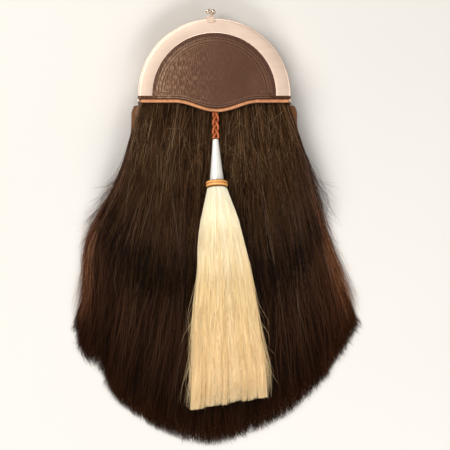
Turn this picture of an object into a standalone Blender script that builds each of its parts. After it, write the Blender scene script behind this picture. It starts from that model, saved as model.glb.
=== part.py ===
# Horse-hair sporran lying on its back: metal half-ring frame, leather pouch, long hair and one tassel.
# Metres. +X runs across, +Y up to the clasp, +Z up from the surface that the sporran lies on.
# The origin is the centre of the half-ring, on the flat outer face of the belt tunnel.

import math
import random

import bmesh
import bpy
import numpy as np
from mathutils import Vector
from mathutils.bvhtree import BVHTree

MM = 0.001

# Clearances and walls
GAP = 0.3 * MM
METAL = 1.4 * MM
LEATHER = 2.2 * MM

# Frame
RING_RADIUS = 76 * MM
BAND_WIDTH = 14.5 * MM
RING_FOOT = 1 * MM
LUG_DROP = 6 * MM
LUG_RADIUS = 4.2 * MM
RIVET_RADIUS = 1 * MM
RIVET_HEAD_RADIUS = 2.5 * MM
RIVET_HEAD = 1.1 * MM

# Kiss-lock
CLASP_X = -3.7 * MM
CLASP_WIDTH = 8 * MM
CLASP_REACH = 8 * MM
CLASP_BALL_RADIUS = 2.9 * MM
CLASP_STEM_RADIUS = 1.6 * MM

# Belt tunnel
BELT_ROOM = 5.5 * MM
BELT_WIDTH = 34 * MM
LOOP_LENGTH = 76 * MM
LOOP_TAB = 6 * MM
LOOP_BOTTOM = BELT_WIDTH / 2 + LEATHER + LOOP_TAB

# Pouch
POUCH_DEPTH = 20.2 * MM
POUCH_DROP = 125 * MM
GUSSET_REACH = 6 * MM
POUCH_HALF_WIDTH = RING_RADIUS + GUSSET_REACH
POUCH_CORNER_RADIUS = 7 * MM
POUCH_SAG_RUN = 42 * MM

# Front panel and its piping
PANEL_DOME = 2.4 * MM
APRON_DROP = 6.4 * MM
OGEE_DROP = 9.3 * MM
OGEE_HALF_WIDTH = 42 * MM
OGEE_X = 2.7 * MM
PIPING_RADIUS = 1.9 * MM
PIPING_INSET = 2 * MM
PIPING_HALF_WIDTH = RING_RADIUS - PIPING_INSET

# Hair
HAIR_HALF_WIDTH = 141 * MM
HAIR_DROP = 346 * MM
HAIR_ROOT_HALF_WIDTH = PIPING_HALF_WIDTH
HAIR_ROOT_THICKNESS = 2.6 * MM
HAIR_THICKNESS = 13 * MM
HAIR_LOCKS = 27
HAIR_SEED = 5

# Plait
BRAID_STRAND = 2.15 * MM
BRAID_SWING = 2.6 * MM
BRAID_LIFT = 1.6 * MM
BRAID_PITCH = 25.5 * MM
BRAID_LENGTH = 25.9 * MM

# Tassel
CONE_LENGTH = 41.2 * MM
CONE_TOP_RADIUS = 2.9 * MM
CONE_BASE_RADIUS = 7.1 * MM
CONE_WALL = 0.9 * MM
CONE_DRIFT = 1.3 * MM
COLLAR_RADIUS = 10.7 * MM
COLLAR_BORE = 3.2 * MM
COLLAR_LENGTH = 6.2 * MM
TASSEL_LENGTH = 220 * MM
TASSEL_HALF_WIDTH = 39.5 * MM
TASSEL_THICKNESS = 19 * MM
TASSEL_DRIFT = 12 * MM
TASSEL_LOCKS = 15
TASSEL_SEED = 8

# Heights that follow from the sizes above
BACK_LEATHER_Z = LEATHER + BELT_ROOM + GAP
BACK_RING_Z = BACK_LEATHER_Z - GAP - METAL
FRONT_LEATHER_Z = BACK_LEATHER_Z + POUCH_DEPTH
PANEL_Z = FRONT_LEATHER_Z + GAP
FRONT_RING_Z = PANEL_Z + LEATHER + GAP + METAL
PARTING_Z = (BACK_RING_Z + FRONT_RING_Z) / 2
RING_HALF_DEPTH = (FRONT_RING_Z - BACK_RING_Z) / 2
HAIR_ROOT_TOP_Z = PANEL_Z + HAIR_ROOT_THICKNESS
PIPING_Z = HAIR_ROOT_TOP_Z + GAP + PIPING_RADIUS

# Widths that follow
LEATHER_RADIUS = RING_RADIUS - METAL - GAP
INNER_LUG_X = LEATHER_RADIUS - METAL
NECK_HALF_WIDTH = INNER_LUG_X - RIVET_HEAD - 2 * GAP
LUG_BOTTOM = LUG_DROP + LUG_RADIUS
HINGE_SHELF_Y = 3 * MM
OGEE_TIP_DROP = APRON_DROP + OGEE_DROP
BRAID_TOP_Y = -(OGEE_TIP_DROP + PIPING_RADIUS + GAP)
CONE_TOP_Y = BRAID_TOP_Y - BRAID_LENGTH - GAP - CONE_TOP_RADIUS / 4
BRAID_X = OGEE_X - 1.4 * MM

# name: colour, roughness, metallic
FINISHES = {
    "satin metal": ((0.80, 0.75, 0.72), 0.32, 1.0),
    "polished metal": ((0.78, 0.76, 0.74), 0.12, 1.0),
    "bright cone metal": ((0.93, 0.92, 0.87), 0.22, 1.0),
    "brown leather": ((0.17, 0.09, 0.055), 0.5, 0.0),
    "dark leather": ((0.085, 0.037, 0.013), 0.45, 0.0),
    "tan leather": ((0.62, 0.30, 0.12), 0.5, 0.0),
    "orange leather": ((0.44, 0.17, 0.055), 0.55, 0.0),
    "dark hair": ((0.035, 0.017, 0.008), 0.45, 0.0),
    "cream hair": ((0.86, 0.70, 0.42), 0.5, 0.0),
}


def material(name):
    found = bpy.data.materials.get(name)
    if found:
        return found
    colour, roughness, metallic = FINISHES[name]
    made = bpy.data.materials.new(name)
    made.use_nodes = True
    shader = made.node_tree.nodes["Principled BSDF"]
    shader.inputs["Base Color"].default_value = (*colour, 1.0)
    shader.inputs["Roughness"].default_value = roughness
    shader.inputs["Metallic"].default_value = metallic
    made.diffuse_color = (*colour, 1.0)
    return made


def solid(name, verts, faces, finish):
    mesh = bpy.data.meshes.new(name)
    mesh.from_pydata([tuple(v) for v in verts], [], faces)
    shape = bmesh.new()
    shape.from_mesh(mesh)
    bmesh.ops.recalc_face_normals(shape, faces=shape.faces)
    shape.to_mesh(mesh)
    shape.free()
    mesh.shade_smooth()
    mesh.set_sharp_from_angle(angle=math.radians(40))
    made = bpy.data.objects.new(name, mesh)
    bpy.context.scene.collection.objects.link(made)
    mesh.materials.append(material(finish))
    return made


def cutter(made):
    made.hide_render = True
    made.display_type = "WIRE"
    return made


def combine(target, other, operation):
    step = target.modifiers.new(other.name, "BOOLEAN")
    step.operation = operation
    step.object = cutter(other)
    return target


def smoothstep(value):
    share = min(max(value, 0.0), 1.0)
    return share * share * (3 - 2 * share)


# A smooth curve through a short table, by cubic steps with averaged slopes.
def through(keys, values, at):
    keys = np.asarray(keys, float)
    values = np.asarray(values, float)
    slopes = np.gradient(values, keys)
    i = int(np.clip(np.searchsorted(keys, at) - 1, 0, len(keys) - 2))
    span = keys[i + 1] - keys[i]
    t = min(max((at - keys[i]) / span, 0.0), 1.0)
    start = (1 + 2 * t) * (1 - t) ** 2 * values[i] + t * (1 - t) ** 2 * span * slopes[i]
    end = t * t * (3 - 2 * t) * values[i + 1] + t * t * (t - 1) * span * slopes[i + 1]
    return float(start + end)


def column(table, name):
    return [row[name] for row in table]


# Closed skin over rings of equal length; the ends are closed by a face, or by a fan to a given point.
def loft(rings, end_points=(None, None), closed=False):
    count = len(rings[0])
    verts = [p for ring in rings for p in ring]
    faces = []
    last = len(rings) if closed else len(rings) - 1
    for i in range(last):
        a = i * count
        b = (i + 1) % len(rings) * count
        for j in range(count):
            k = (j + 1) % count
            faces.append((a + j, a + k, b + k, b + j))
    if not closed:
        for ring_start, point in ((0, end_points[0]), ((len(rings) - 1) * count, end_points[1])):
            ring = list(range(ring_start, ring_start + count))
            if point is None:
                faces.append(tuple(ring))
                continue
            verts.append(point)
            hub = len(verts) - 1
            faces += [(ring[j], ring[(j + 1) % count], hub) for j in range(count)]
    return verts, faces


# Closed sheet between an upper and a lower grid of points, both as lists of columns.
def sheet(upper, lower):
    wide = len(upper)
    deep = len(upper[0])
    verts = [p for col in upper for p in col] + [p for col in lower for p in col]
    under = wide * deep

    def at(i, j):
        return i * deep + j

    faces = []
    for i in range(wide - 1):
        for j in range(deep - 1):
            quad = (at(i, j), at(i + 1, j), at(i + 1, j + 1), at(i, j + 1))
            faces.append(quad)
            faces.append(tuple(under + v for v in reversed(quad)))
    rim = [at(i, 0) for i in range(wide)]
    rim += [at(wide - 1, j) for j in range(1, deep)]
    rim += [at(i, deep - 1) for i in range(wide - 2, -1, -1)]
    rim += [at(0, j) for j in range(deep - 2, 0, -1)]
    for a, b in zip(rim, rim[1:] + rim[:1]):
        faces.append((a, under + a, under + b, b))
    return verts, faces


def prism(outline, low, high, place):
    rings = [[place(u, v, w) for u, v in outline] for w in (low, high)]
    return loft(rings)


# Profile rows are (share of the axis length in metres, radius); the profile is a closed loop round a bore.
def turned(profile, start, end, sides):
    axis = (end - start).normalized()
    across = axis.cross(Vector((1, 0, 0))).normalized()
    up = across.cross(axis)
    rings = []
    for i in range(sides):
        angle = 2 * math.pi * i / sides
        out = across * math.cos(angle) + up * math.sin(angle)
        rings.append([start + axis * along + out * radius for along, radius in profile])
    return loft(rings, closed=True)


# Frame half: face band, rounded rim and flange, swept round the half circle and down to the hinge.
def ring_section():
    return [
        (RING_RADIUS, GAP / 2),
        (RING_RADIUS, RING_HALF_DEPTH - METAL / 2),
        (RING_RADIUS - METAL / 6, RING_HALF_DEPTH - METAL / 8),
        (RING_RADIUS - METAL / 2, RING_HALF_DEPTH),
        (RING_RADIUS - METAL, RING_HALF_DEPTH - METAL / 6),
        (RING_RADIUS - BAND_WIDTH + METAL / 2, RING_HALF_DEPTH - METAL / 6),
        (RING_RADIUS - BAND_WIDTH, RING_HALF_DEPTH - METAL / 2),
        (RING_RADIUS - BAND_WIDTH, RING_HALF_DEPTH - METAL),
        (RING_RADIUS - METAL, RING_HALF_DEPTH - METAL),
        (RING_RADIUS - METAL, GAP / 2),
    ]


def lug_outline(reach):
    shoulder = RING_FOOT + GAP / 2
    outline = [(HINGE_SHELF_Y, METAL), (HINGE_SHELF_Y, reach), (-shoulder, reach)]
    for degrees in range(120, 361, 30):
        angle = math.radians(degrees)
        y = -LUG_DROP + LUG_RADIUS * math.cos(angle)
        outline.append((y, LUG_RADIUS * math.sin(angle)))
    outline.append((-shoulder, METAL))
    return outline


def frame_half(name, side, inner):
    arc_steps = 34
    rings = []
    angles = [math.pi * i / arc_steps for i in range(arc_steps + 1)]
    places = [(math.cos(a), math.sin(a), 0.0) for a in angles]
    places = [(1.0, 0.0, -RING_FOOT)] + places + [(-1.0, 0.0, -RING_FOOT)]
    for c, s, drop in places:
        rings.append([(r * c, r * s + drop, PARTING_Z + side * h) for r, h in ring_section()])
    half = solid(name, *loft(rings), "satin metal")
    lug_x = INNER_LUG_X if inner else RING_RADIUS - METAL
    joggle = RING_RADIUS - METAL / 2
    for hand, word in ((-1, "left"), (1, "right")):

        def place(y, h, x):
            return (hand * x, y, PARTING_Z + side * h)

        reach = RING_HALF_DEPTH - 3 * METAL
        lug = prism(lug_outline(reach), lug_x, lug_x + METAL, place)
        combine(half, solid(f"{name}_lug_{word}", *lug, "satin metal"), "UNION")
        if inner:
            bridge = [(0.0, METAL * 2), (0.0, reach), (HINGE_SHELF_Y, reach), (HINGE_SHELF_Y, METAL * 2)]
            block = prism(bridge, lug_x + METAL / 2, joggle, place)
            combine(half, solid(f"{name}_joggle_{word}", *block, "satin metal"), "UNION")
        hole = [
            (
                -LUG_DROP + (RIVET_RADIUS + GAP) * math.cos(math.pi * i / 6),
                (RIVET_RADIUS + GAP) * math.sin(math.pi * i / 6),
            )
            for i in range(12)
        ]
        bore = prism(hole, lug_x - METAL, lug_x + 2 * METAL, place)
        combine(half, solid(f"{name}_bore_{word}", *bore, "satin metal"), "DIFFERENCE")
    return half


def hinge_rivet(name, hand):
    inner_face = INNER_LUG_X - GAP
    outer_face = RING_RADIUS + GAP
    rim = RIVET_HEAD_RADIUS
    # along the rivet from its inner end, radius
    profile = [
        (inner_face - RIVET_HEAD, rim * 0.7),
        (inner_face - RIVET_HEAD * 0.6, rim),
        (inner_face, rim),
        (inner_face, RIVET_RADIUS),
        (outer_face, RIVET_RADIUS),
        (outer_face, rim),
        (outer_face + RIVET_HEAD * 0.5, rim * 0.9),
        (outer_face + RIVET_HEAD, rim * 0.5),
    ]
    rings = []
    for along, radius in profile:
        ring = []
        for i in range(12):
            angle = math.pi * i / 6
            y = -LUG_DROP + radius * math.cos(angle)
            ring.append((hand * along, y, PARTING_Z + radius * math.sin(angle)))
        rings.append(ring)
    return solid(name, *loft(rings), "polished metal")


# Kiss-lock half: base plate over the rim, stem and ball. The balls pass each other above the parting plane.
def clasp_half(name, side, ball_side):
    plate_low = RING_HALF_DEPTH + GAP
    plate_high = plate_low + METAL
    rim_y = RING_RADIUS + GAP
    half_width = CLASP_WIDTH / 2
    plate_foot = RING_RADIUS - CLASP_WIDTH / 2

    def place(x, y, h):
        return (CLASP_X + x, y, PARTING_Z + side * h)

    outline = []
    for i in range(7):
        angle = math.pi + math.pi * i / 6
        outline.append((half_width * math.cos(angle), plate_foot + half_width * 0.6 * math.sin(angle)))
    outline += [(half_width, rim_y + METAL), (-half_width, rim_y + METAL)]
    half = solid(name, *prism(outline, plate_low, plate_high, place), "polished metal")

    post_top = rim_y + METAL
    post = [(-half_width, rim_y), (half_width, rim_y), (half_width, post_top), (-half_width, post_top)]
    post_low = RING_HALF_DEPTH / 2
    block = prism(post, post_low, plate_high - METAL / 2, place)
    combine(half, solid(f"{name}_post", *block, "polished metal"), "UNION")

    ball_apart = CLASP_BALL_RADIUS + GAP
    ball_h = ball_apart * 0.76
    ball_x = ball_side * ball_apart * 0.74
    ball_y = RING_RADIUS + CLASP_REACH
    foot = Vector((0.0, rim_y + METAL / 2, post_low + CLASP_STEM_RADIUS * 1.3))
    head = Vector((ball_x, ball_y, ball_h))
    axis = (head - foot).normalized()
    across = axis.cross(Vector((1, 0, 0))).normalized()
    up = across.cross(axis)
    rings = []
    for along, girth in ((0, 1.15), (0.5, 0.85), (1, 1.0)):
        point = foot.lerp(head, along)
        radius = CLASP_STEM_RADIUS * girth
        ring = []
        for i in range(12):
            angle = math.pi * i / 6
            spot = point + (across * math.cos(angle) + up * math.sin(angle)) * radius
            ring.append(place(*spot))
        rings.append(ring)
    combine(half, solid(f"{name}_stem", *loft(rings), "polished metal"), "UNION")

    mesh = bpy.data.meshes.new(f"{name}_ball")
    shape = bmesh.new()
    bmesh.ops.create_uvsphere(shape, u_segments=16, v_segments=10, radius=CLASP_BALL_RADIUS)
    bmesh.ops.translate(shape, verts=shape.verts, vec=place(*head))
    shape.to_mesh(mesh)
    shape.free()
    ball = bpy.data.objects.new(f"{name}_ball", mesh)
    bpy.context.scene.collection.objects.link(ball)
    combine(half, ball, "UNION")
    return half


# Leather tunnel for the belt, a hat section with its tabs sewn to the back.
def belt_loop():
    top = BACK_LEATHER_Z - GAP
    inner = BELT_WIDTH / 2
    outer = inner + LEATHER
    tab = outer + LOOP_TAB
    tab_foot = top - LEATHER
    half = [(outer, 0.0), (outer, tab_foot), (tab, tab_foot), (tab, top), (inner, top), (inner, LEATHER)]
    outline = half + [(-y, z) for y, z in reversed(half)]
    shape = prism(outline, -LOOP_LENGTH / 2, LOOP_LENGTH / 2, lambda y, z, x: (x, y, z))
    return solid("belt_loop", *shape, "dark leather")


# Bag below the hinge. Shares of its drop, of its half width and of its depth.
BAG_SECTIONS = [
    {"drop": 0.094, "width": 0.985, "front": 1.00},
    {"drop": 0.115, "width": 1.000, "front": 1.00},
    {"drop": 0.21, "width": 1.012, "front": 1.00},
    {"drop": 0.34, "width": 1.020, "front": 1.04},
    {"drop": 0.52, "width": 1.015, "front": 1.03},
    {"drop": 0.72, "width": 0.960, "front": 0.92},
    {"drop": 0.87, "width": 0.820, "front": 0.70},
    {"drop": 0.96, "width": 0.620, "front": 0.46},
    {"drop": 1.00, "width": 0.420, "front": 0.26},
]


# Height of the bag's back: level behind the belt tunnel, then sagging to the surface.
def bag_back(y):
    return BACK_LEATHER_Z * (1 - smoothstep((-y - LOOP_BOTTOM - GAP) / POUCH_SAG_RUN))


def bag_station(y):
    keys = [-POUCH_DROP * drop for drop in column(BAG_SECTIONS, "drop")][::-1]
    width = through(keys, column(BAG_SECTIONS, "width")[::-1], y)
    share = through(keys, column(BAG_SECTIONS, "front")[::-1], y)
    back = bag_back(y)
    front = BACK_LEATHER_Z + share * POUCH_DEPTH
    corner = min(POUCH_CORNER_RADIUS, (front - back) * 0.42)
    return (y, width * POUCH_HALF_WIDTH, back, front, corner)


# Half width, back, front and corner radius at each y, from the top of the arch to the bottom of the bag.
def pouch_stations():
    flat = (BACK_LEATHER_Z, FRONT_LEATHER_Z, LEATHER / 2)
    shelf = HINGE_SHELF_Y + GAP * 2
    stations = []
    for degrees in (87, 80, 70, 60, 50, 40, 30, 20, 10):
        angle = math.radians(degrees)
        stations.append((LEATHER_RADIUS * math.sin(angle), LEATHER_RADIUS * math.cos(angle), *flat))
    shelf_width = math.sqrt(LEATHER_RADIUS**2 - shelf**2)
    stations.append((shelf, shelf_width, *flat))
    stations.append((shelf - GAP, NECK_HALF_WIDTH, *flat))
    stations.append((-LUG_BOTTOM - GAP, NECK_HALF_WIDTH, *flat))
    places = [-POUCH_DROP * drop for drop in column(BAG_SECTIONS, "drop")] + [-LOOP_BOTTOM - GAP]
    return stations + [bag_station(y) for y in sorted(places, reverse=True)]


def rounded_section(y, half_width, back, front, corner):
    ring = []
    for cx, cz, turn in ((1, 1, 0), (-1, 1, 90), (-1, -1, 180), (1, -1, 270)):
        x = cx * (half_width - corner)
        z = front - corner if cz > 0 else back + corner
        for step in (0, 30, 60, 90):
            angle = math.radians(turn + step)
            ring.append((x + corner * math.cos(angle), y, z + corner * math.sin(angle)))
        if cx * cz > 0:
            ring += [(share * x, y, front if cz > 0 else back) for share in (0.5, 0.0, -0.5)]
    return ring


def pouch_body():
    outer = [rounded_section(*station) for station in pouch_stations()]
    body = solid("pouch_body", *loft(outer), "dark leather")
    mouth = RING_RADIUS + METAL
    low = BACK_LEATHER_Z + LEATHER
    high = FRONT_LEATHER_Z - LEATHER
    shelf = HINGE_SHELF_Y + GAP * 2
    flat = (low, high, LEATHER / 4)
    inner = [rounded_section(mouth, mouth, *flat), rounded_section(shelf, mouth, *flat)]
    inner.append(rounded_section(shelf - GAP, NECK_HALF_WIDTH - LEATHER, *flat))
    inner.append(rounded_section(-LUG_BOTTOM - LEATHER, NECK_HALF_WIDTH - LEATHER, *flat))
    bag = [station for station in pouch_stations() if station[0] < -LUG_BOTTOM - LEATHER]
    for y, half_width, back, front, corner in bag[:-1]:
        room = max(corner - LEATHER, LEATHER / 4)
        inset = half_width - 1.2 * LEATHER
        inner.append(rounded_section(y + LEATHER, inset, back + LEATHER, front - LEATHER, room))
    hollow = solid("pouch_hollow", *loft(inner), "dark leather")
    return combine(body, hollow, "DIFFERENCE")


def ogee(x):
    offset = x - OGEE_X
    swell = 0.0
    if abs(offset) < OGEE_HALF_WIDTH:
        swell = 0.5 + 0.5 * math.cos(math.pi * offset / OGEE_HALF_WIDTH)
    return -APRON_DROP - OGEE_DROP * swell


# Where the panel starts to rise over the hair's root: under the middle early, beside the ring's ends late.
def lift_start(x):
    inside = RING_RADIUS - BAND_WIDTH - METAL
    return -RING_FOOT - 2 * GAP + BAND_WIDTH * smoothstep((inside - abs(x)) / BAND_WIDTH)


# Front panel: domed inside the ring, flat under the band, lifted over the hair's root at the lower edge.
def panel_top(x, y, lower):
    rim = RING_RADIUS - BAND_WIDTH - METAL
    dome = PANEL_DOME * max(0.0, 1 - (x * x + max(y, 0.0) ** 2) / rim**2)
    start = lift_start(x)
    lift = smoothstep((start - y) / (start - lower))
    edge = PIPING_Z - PANEL_Z - LEATHER
    return PANEL_Z + LEATHER + dome * (1 - lift) + edge * lift


def front_panel():
    xs = [-LEATHER_RADIUS * math.cos(math.radians(6 * i)) for i in range(31)]
    side = [RING_RADIUS, LEATHER_RADIUS + GAP]
    xs = [-x for x in side] + xs + list(reversed(side))
    shoulder = -RING_FOOT - 1.5 * GAP
    upper = []
    lower = []
    for x in xs:
        bottom = ogee(x) + PIPING_RADIUS + GAP
        start = lift_start(x)
        top = shoulder
        if abs(x) <= LEATHER_RADIUS:
            top = math.sqrt(max(LEATHER_RADIUS**2 - x * x, 0.0))
        rows = [bottom + (start - bottom) * share for share in (0, 0.33, 0.67)]
        rows += [start + (top - start) * share for share in (0, 0.25, 0.5, 0.75, 1)]
        over = [(x, y, panel_top(x, y, bottom)) for y in rows]
        upper.append(over)
        lower.append([(px, py, pz - LEATHER) for px, py, pz in over])
    return solid("front_panel", *sheet(upper, lower), "brown leather")


def piping():
    steps = 48
    rings = []
    for i in range(steps + 1):
        x = OGEE_X / 4 - PIPING_HALF_WIDTH + 2 * PIPING_HALF_WIDTH * i / steps
        slope = (ogee(x + GAP) - ogee(x - GAP)) / (2 * GAP)
        along = Vector((1, slope, 0)).normalized()
        side = Vector((-along.y, along.x, 0))
        ring = []
        for j in range(8):
            angle = math.radians(45 * j + 22.5)
            spot = Vector((x, ogee(x), PIPING_Z)) + side * (PIPING_RADIUS * math.cos(angle))
            ring.append(spot + Vector((0, 0, PIPING_RADIUS * math.sin(angle))))
        rings.append(ring)
    return solid("piping", *loft(rings), "tan leather")


# Lines that the hair follows. Shares: place across, root of the root's half width, tip of the
# hair's half width and drop, and the sideways bow of the half width, fullest past the middle.
HAIR_BOW_PLACE = 0.6
HAIR_BOW_SPREAD = 0.18
HAIR_LINES = [
    {"across": -1.00, "root": -0.98, "tip": -0.975, "drop": 0.66, "bow": -0.100},
    {"across": -0.83, "root": -0.86, "tip": -0.900, "drop": 0.75, "bow": -0.070},
    {"across": -0.67, "root": -0.71, "tip": -0.757, "drop": 0.85, "bow": -0.030},
    {"across": -0.33, "root": -0.36, "tip": -0.459, "drop": 0.945, "bow": 0.010},
    {"across": 0.00, "root": 0.02, "tip": -0.045, "drop": 1.00, "bow": 0.020},
    {"across": 0.33, "root": 0.39, "tip": 0.398, "drop": 0.935, "bow": 0.020},
    {"across": 0.67, "root": 0.73, "tip": 0.769, "drop": 0.83, "bow": 0.010},
    {"across": 0.83, "root": 0.87, "tip": 0.898, "drop": 0.745, "bow": -0.010},
    {"across": 1.00, "root": 0.99, "tip": 1.010, "drop": 0.66, "bow": -0.035},
]

# Shares: place along a lock, thickness of the hair there.
HAIR_BODY = [
    {"along": 0.0, "thick": 0.20},
    {"along": 0.026, "thick": 0.20},
    {"along": 0.055, "thick": 0.42},
    {"along": 0.10, "thick": 0.66},
    {"along": 0.17, "thick": 0.85},
    {"along": 0.26, "thick": 0.97},
    {"along": 0.36, "thick": 1.00},
    {"along": 0.47, "thick": 0.97},
    {"along": 0.58, "thick": 0.90},
    {"along": 0.70, "thick": 0.78},
    {"along": 0.82, "thick": 0.60},
    {"along": 0.92, "thick": 0.40},
    {"along": 1.0, "thick": 0.18},
]


def hair_place(across, along):
    keys = column(HAIR_LINES, "across")
    root_x = HAIR_ROOT_HALF_WIDTH * through(keys, column(HAIR_LINES, "root"), across)
    root = Vector((root_x, ogee(root_x) + PIPING_RADIUS - GAP, 0))
    tip_x = HAIR_HALF_WIDTH * through(keys, column(HAIR_LINES, "tip"), across)
    tip = Vector((tip_x, -HAIR_DROP * through(keys, column(HAIR_LINES, "drop"), across), 0))
    bow = HAIR_HALF_WIDTH * through(keys, column(HAIR_LINES, "bow"), across)
    place = root.lerp(tip, along)
    place.x += bow * math.exp(-(((along - HAIR_BOW_PLACE) / HAIR_BOW_SPREAD) ** 2))
    return place


def skin_of(made):
    evaluated = made.evaluated_get(bpy.context.evaluated_depsgraph_get())
    mesh = evaluated.to_mesh()
    corners = [v.co.copy() for v in mesh.vertices]
    tree = BVHTree.FromPolygons(corners, [tuple(p.vertices) for p in mesh.polygons])
    evaluated.to_mesh_clear()
    return tree


def top_of(tree, x, y):
    hit = tree.ray_cast(Vector((x, y, 1.0)), Vector((0, 0, -1)))[0]
    return hit.z if hit else 0.0


# Height that a soft sheet takes over the bag: level to a margin past its edge, then down at a steady slope,
# steeper at the sides than along the hair.
def drape_over(tree):
    margin = POUCH_CORNER_RADIUS * 0.8
    slope = 0.9
    stretch = 0.42
    spots = []
    steps = 40
    for i in range(steps + 1):
        for j in range(steps + 1):
            x = POUCH_HALF_WIDTH * 1.05 * (2 * i / steps - 1)
            y = -POUCH_DROP * 1.02 * j / steps
            z = top_of(tree, x, y)
            if z > 0:
                spots.append((x, y, z))
    spots = np.array(spots)

    def height(x, y):
        away = np.hypot(spots[:, 0] - x, stretch * (spots[:, 1] - y))
        return max(0.0, float(np.max(spots[:, 2] + GAP - slope * np.maximum(0.0, away - margin))))

    return height


# Lifts a grid of points until the straight stretches between neighbours clear the bag as well.
def lift_clear(grid, tree):
    steps = ((1, 0), (0, 1), (1, 1), (1, -1))
    for _ in range(3):
        for i, col in enumerate(grid):
            for j, point in enumerate(col):
                for di, dj in steps:
                    if not (i + di < len(grid) and 0 <= j + dj < len(col)):
                        continue
                    other = grid[i + di][j + dj]
                    lack = 0.0
                    share = 0.0
                    for step in range(13):
                        x, y, z = (a + (b - a) * step / 12 for a, b in zip(point, other))
                        below = top_of(tree, x, y)
                        if below > 0 and below + GAP - z > lack:
                            lack = below + 1.2 * GAP - z
                            share = step / 12
                    even = (1 - share) ** 2 + share**2
                    point[2] += lack * (1 - share) / even
                    other[2] += lack * share / even


def hair_thickness(spot, across, row, ridge):
    if row["along"] < 0.03:
        return HAIR_ROOT_THICKNESS
    thin = 1 - 0.5 * abs(across) ** 3 * smoothstep(row["along"] / 0.15)
    lay = math.exp(-(((spot.x - BRAID_X) / (COLLAR_RADIUS * 1.5)) ** 2))
    near = 1 - smoothstep((-spot.y + CONE_TOP_Y - CONE_LENGTH) / TASSEL_LENGTH * 2)
    thin *= 1 - 0.35 * lay * near
    return max(HAIR_THICKNESS * row["thick"] * ridge * thin, HAIR_ROOT_THICKNESS * 0.8)


def hair_skirt(body):
    tree = skin_of(body)
    drape = drape_over(tree)
    pick = random.Random(HAIR_SEED)
    columns = HAIR_LOCKS * 3 + 1
    tips = [0.975 + 0.025 * pick.random() for _ in range(HAIR_LOCKS)]
    swells = [0.9 + 0.1 * pick.random() for _ in range(HAIR_LOCKS)]
    lower = []
    thick = []
    for i in range(columns):
        lock = min(i // 3, HAIR_LOCKS - 1)
        across = 2 * i / (columns - 1) - 1
        between = i % 3 == 0 and 0 < i < columns - 1
        tip = tips[lock] - (0.075 if between else 0.012 * (i % 3 - 1))
        ridge = swells[lock] * (0.72 if between else 1.0)
        places = [hair_place(across, row["along"] * tip) for row in HAIR_BODY]
        thick.append([hair_thickness(spot, across, row, ridge) for spot, row in zip(places, HAIR_BODY)])
        under = []
        for spot, row in zip(places, HAIR_BODY):
            under.append([spot.x, spot.y, PANEL_Z if row["along"] < 0.03 else drape(spot.x, spot.y)])
        lower.append(under)
    lift_clear(lower, tree)
    upper = [[(x, y, z + t) for (x, y, z), t in zip(col, depths)] for col, depths in zip(lower, thick)]
    return solid("hair_skirt", *sheet(upper, lower), "dark hair")


# Highest point of the hair under a patch, plus the clearance.
def rest_height(tree, x, y, reach):
    spots = [(x + reach * a, y + reach * b) for a in (-1, -0.5, 0, 0.5, 1) for b in (-1, -0.5, 0, 0.5, 1)]
    return max(top_of(tree, px, py) for px, py in spots) + GAP


def tassel_axis(tree):
    low = rest_height(tree, BRAID_X, CONE_TOP_Y, CONE_TOP_RADIUS) + CONE_TOP_RADIUS
    base_y = CONE_TOP_Y - CONE_LENGTH
    collar_y = base_y - COLLAR_LENGTH / 2
    high = rest_height(tree, BRAID_X + CONE_DRIFT, collar_y, COLLAR_RADIUS * 0.8) + COLLAR_RADIUS
    start = Vector((BRAID_X, CONE_TOP_Y, low))
    return start, Vector((BRAID_X + CONE_DRIFT, base_y, low + (high - low) * 0.95))


def braid(tree, cone_start):
    steps = 22
    strands = [[], [], []]
    lift = BRAID_LIFT + BRAID_STRAND / 2 + GAP
    start_z = HAIR_ROOT_TOP_Z + lift
    for i in range(steps + 1):
        share = i / steps
        y = BRAID_TOP_Y - BRAID_LENGTH * share
        needed = rest_height(tree, BRAID_X, y, BRAID_SWING + BRAID_STRAND) + lift
        line = start_z + (cone_start.z + BRAID_STRAND - start_z) * smoothstep(share * 1.15)
        for k, strand in enumerate(strands):
            turn = 2 * math.pi * (share * BRAID_LENGTH / BRAID_PITCH + k / 3)
            swing = BRAID_SWING * (0.85 + 0.15 * share)
            x = BRAID_X + swing * math.sin(turn)
            strand.append(Vector((x, y, max(needed, line) + BRAID_LIFT * math.sin(2 * turn))))
    made = []
    for k, path in enumerate(strands):
        rings = []
        for i, point in enumerate(path):
            along = (path[min(i + 1, steps)] - path[max(i - 1, 0)]).normalized()
            across = along.cross(Vector((0, 0, 1))).normalized()
            up = across.cross(along)
            if i in (0, steps):
                across = Vector((-1, 0, 0))
                up = Vector((0, 0, 1))
            ring = []
            for j in range(6):
                angle = math.pi * j / 3
                ring.append(point + (across * math.cos(angle) + up * math.sin(angle)) * (BRAID_STRAND / 2))
            rings.append(ring)
        made.append(solid(f"braid_strand_{k + 1}", *loft(rings), "orange leather"))
    return made


def tassel_cone(start, end):
    length = (end - start).length
    slant = CONE_BASE_RADIUS - CONE_TOP_RADIUS
    # along the axis, radius
    profile = [
        (0.0, CONE_TOP_RADIUS * 0.6),
        (0.0, CONE_TOP_RADIUS * 0.9),
        (CONE_WALL / 2, CONE_TOP_RADIUS),
        (length * 0.5, CONE_TOP_RADIUS + slant * 0.47),
        (length - CONE_WALL, CONE_BASE_RADIUS),
        (length, CONE_BASE_RADIUS - CONE_WALL * 0.2),
        (length, CONE_BASE_RADIUS - CONE_WALL),
        (length * 0.5, CONE_TOP_RADIUS + slant * 0.47 - CONE_WALL),
        (CONE_WALL * 1.5, CONE_TOP_RADIUS - CONE_WALL),
        (CONE_WALL, CONE_TOP_RADIUS * 0.6),
    ]
    return solid("tassel_cone", *turned(profile, start, end, 20), "bright cone metal")


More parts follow.
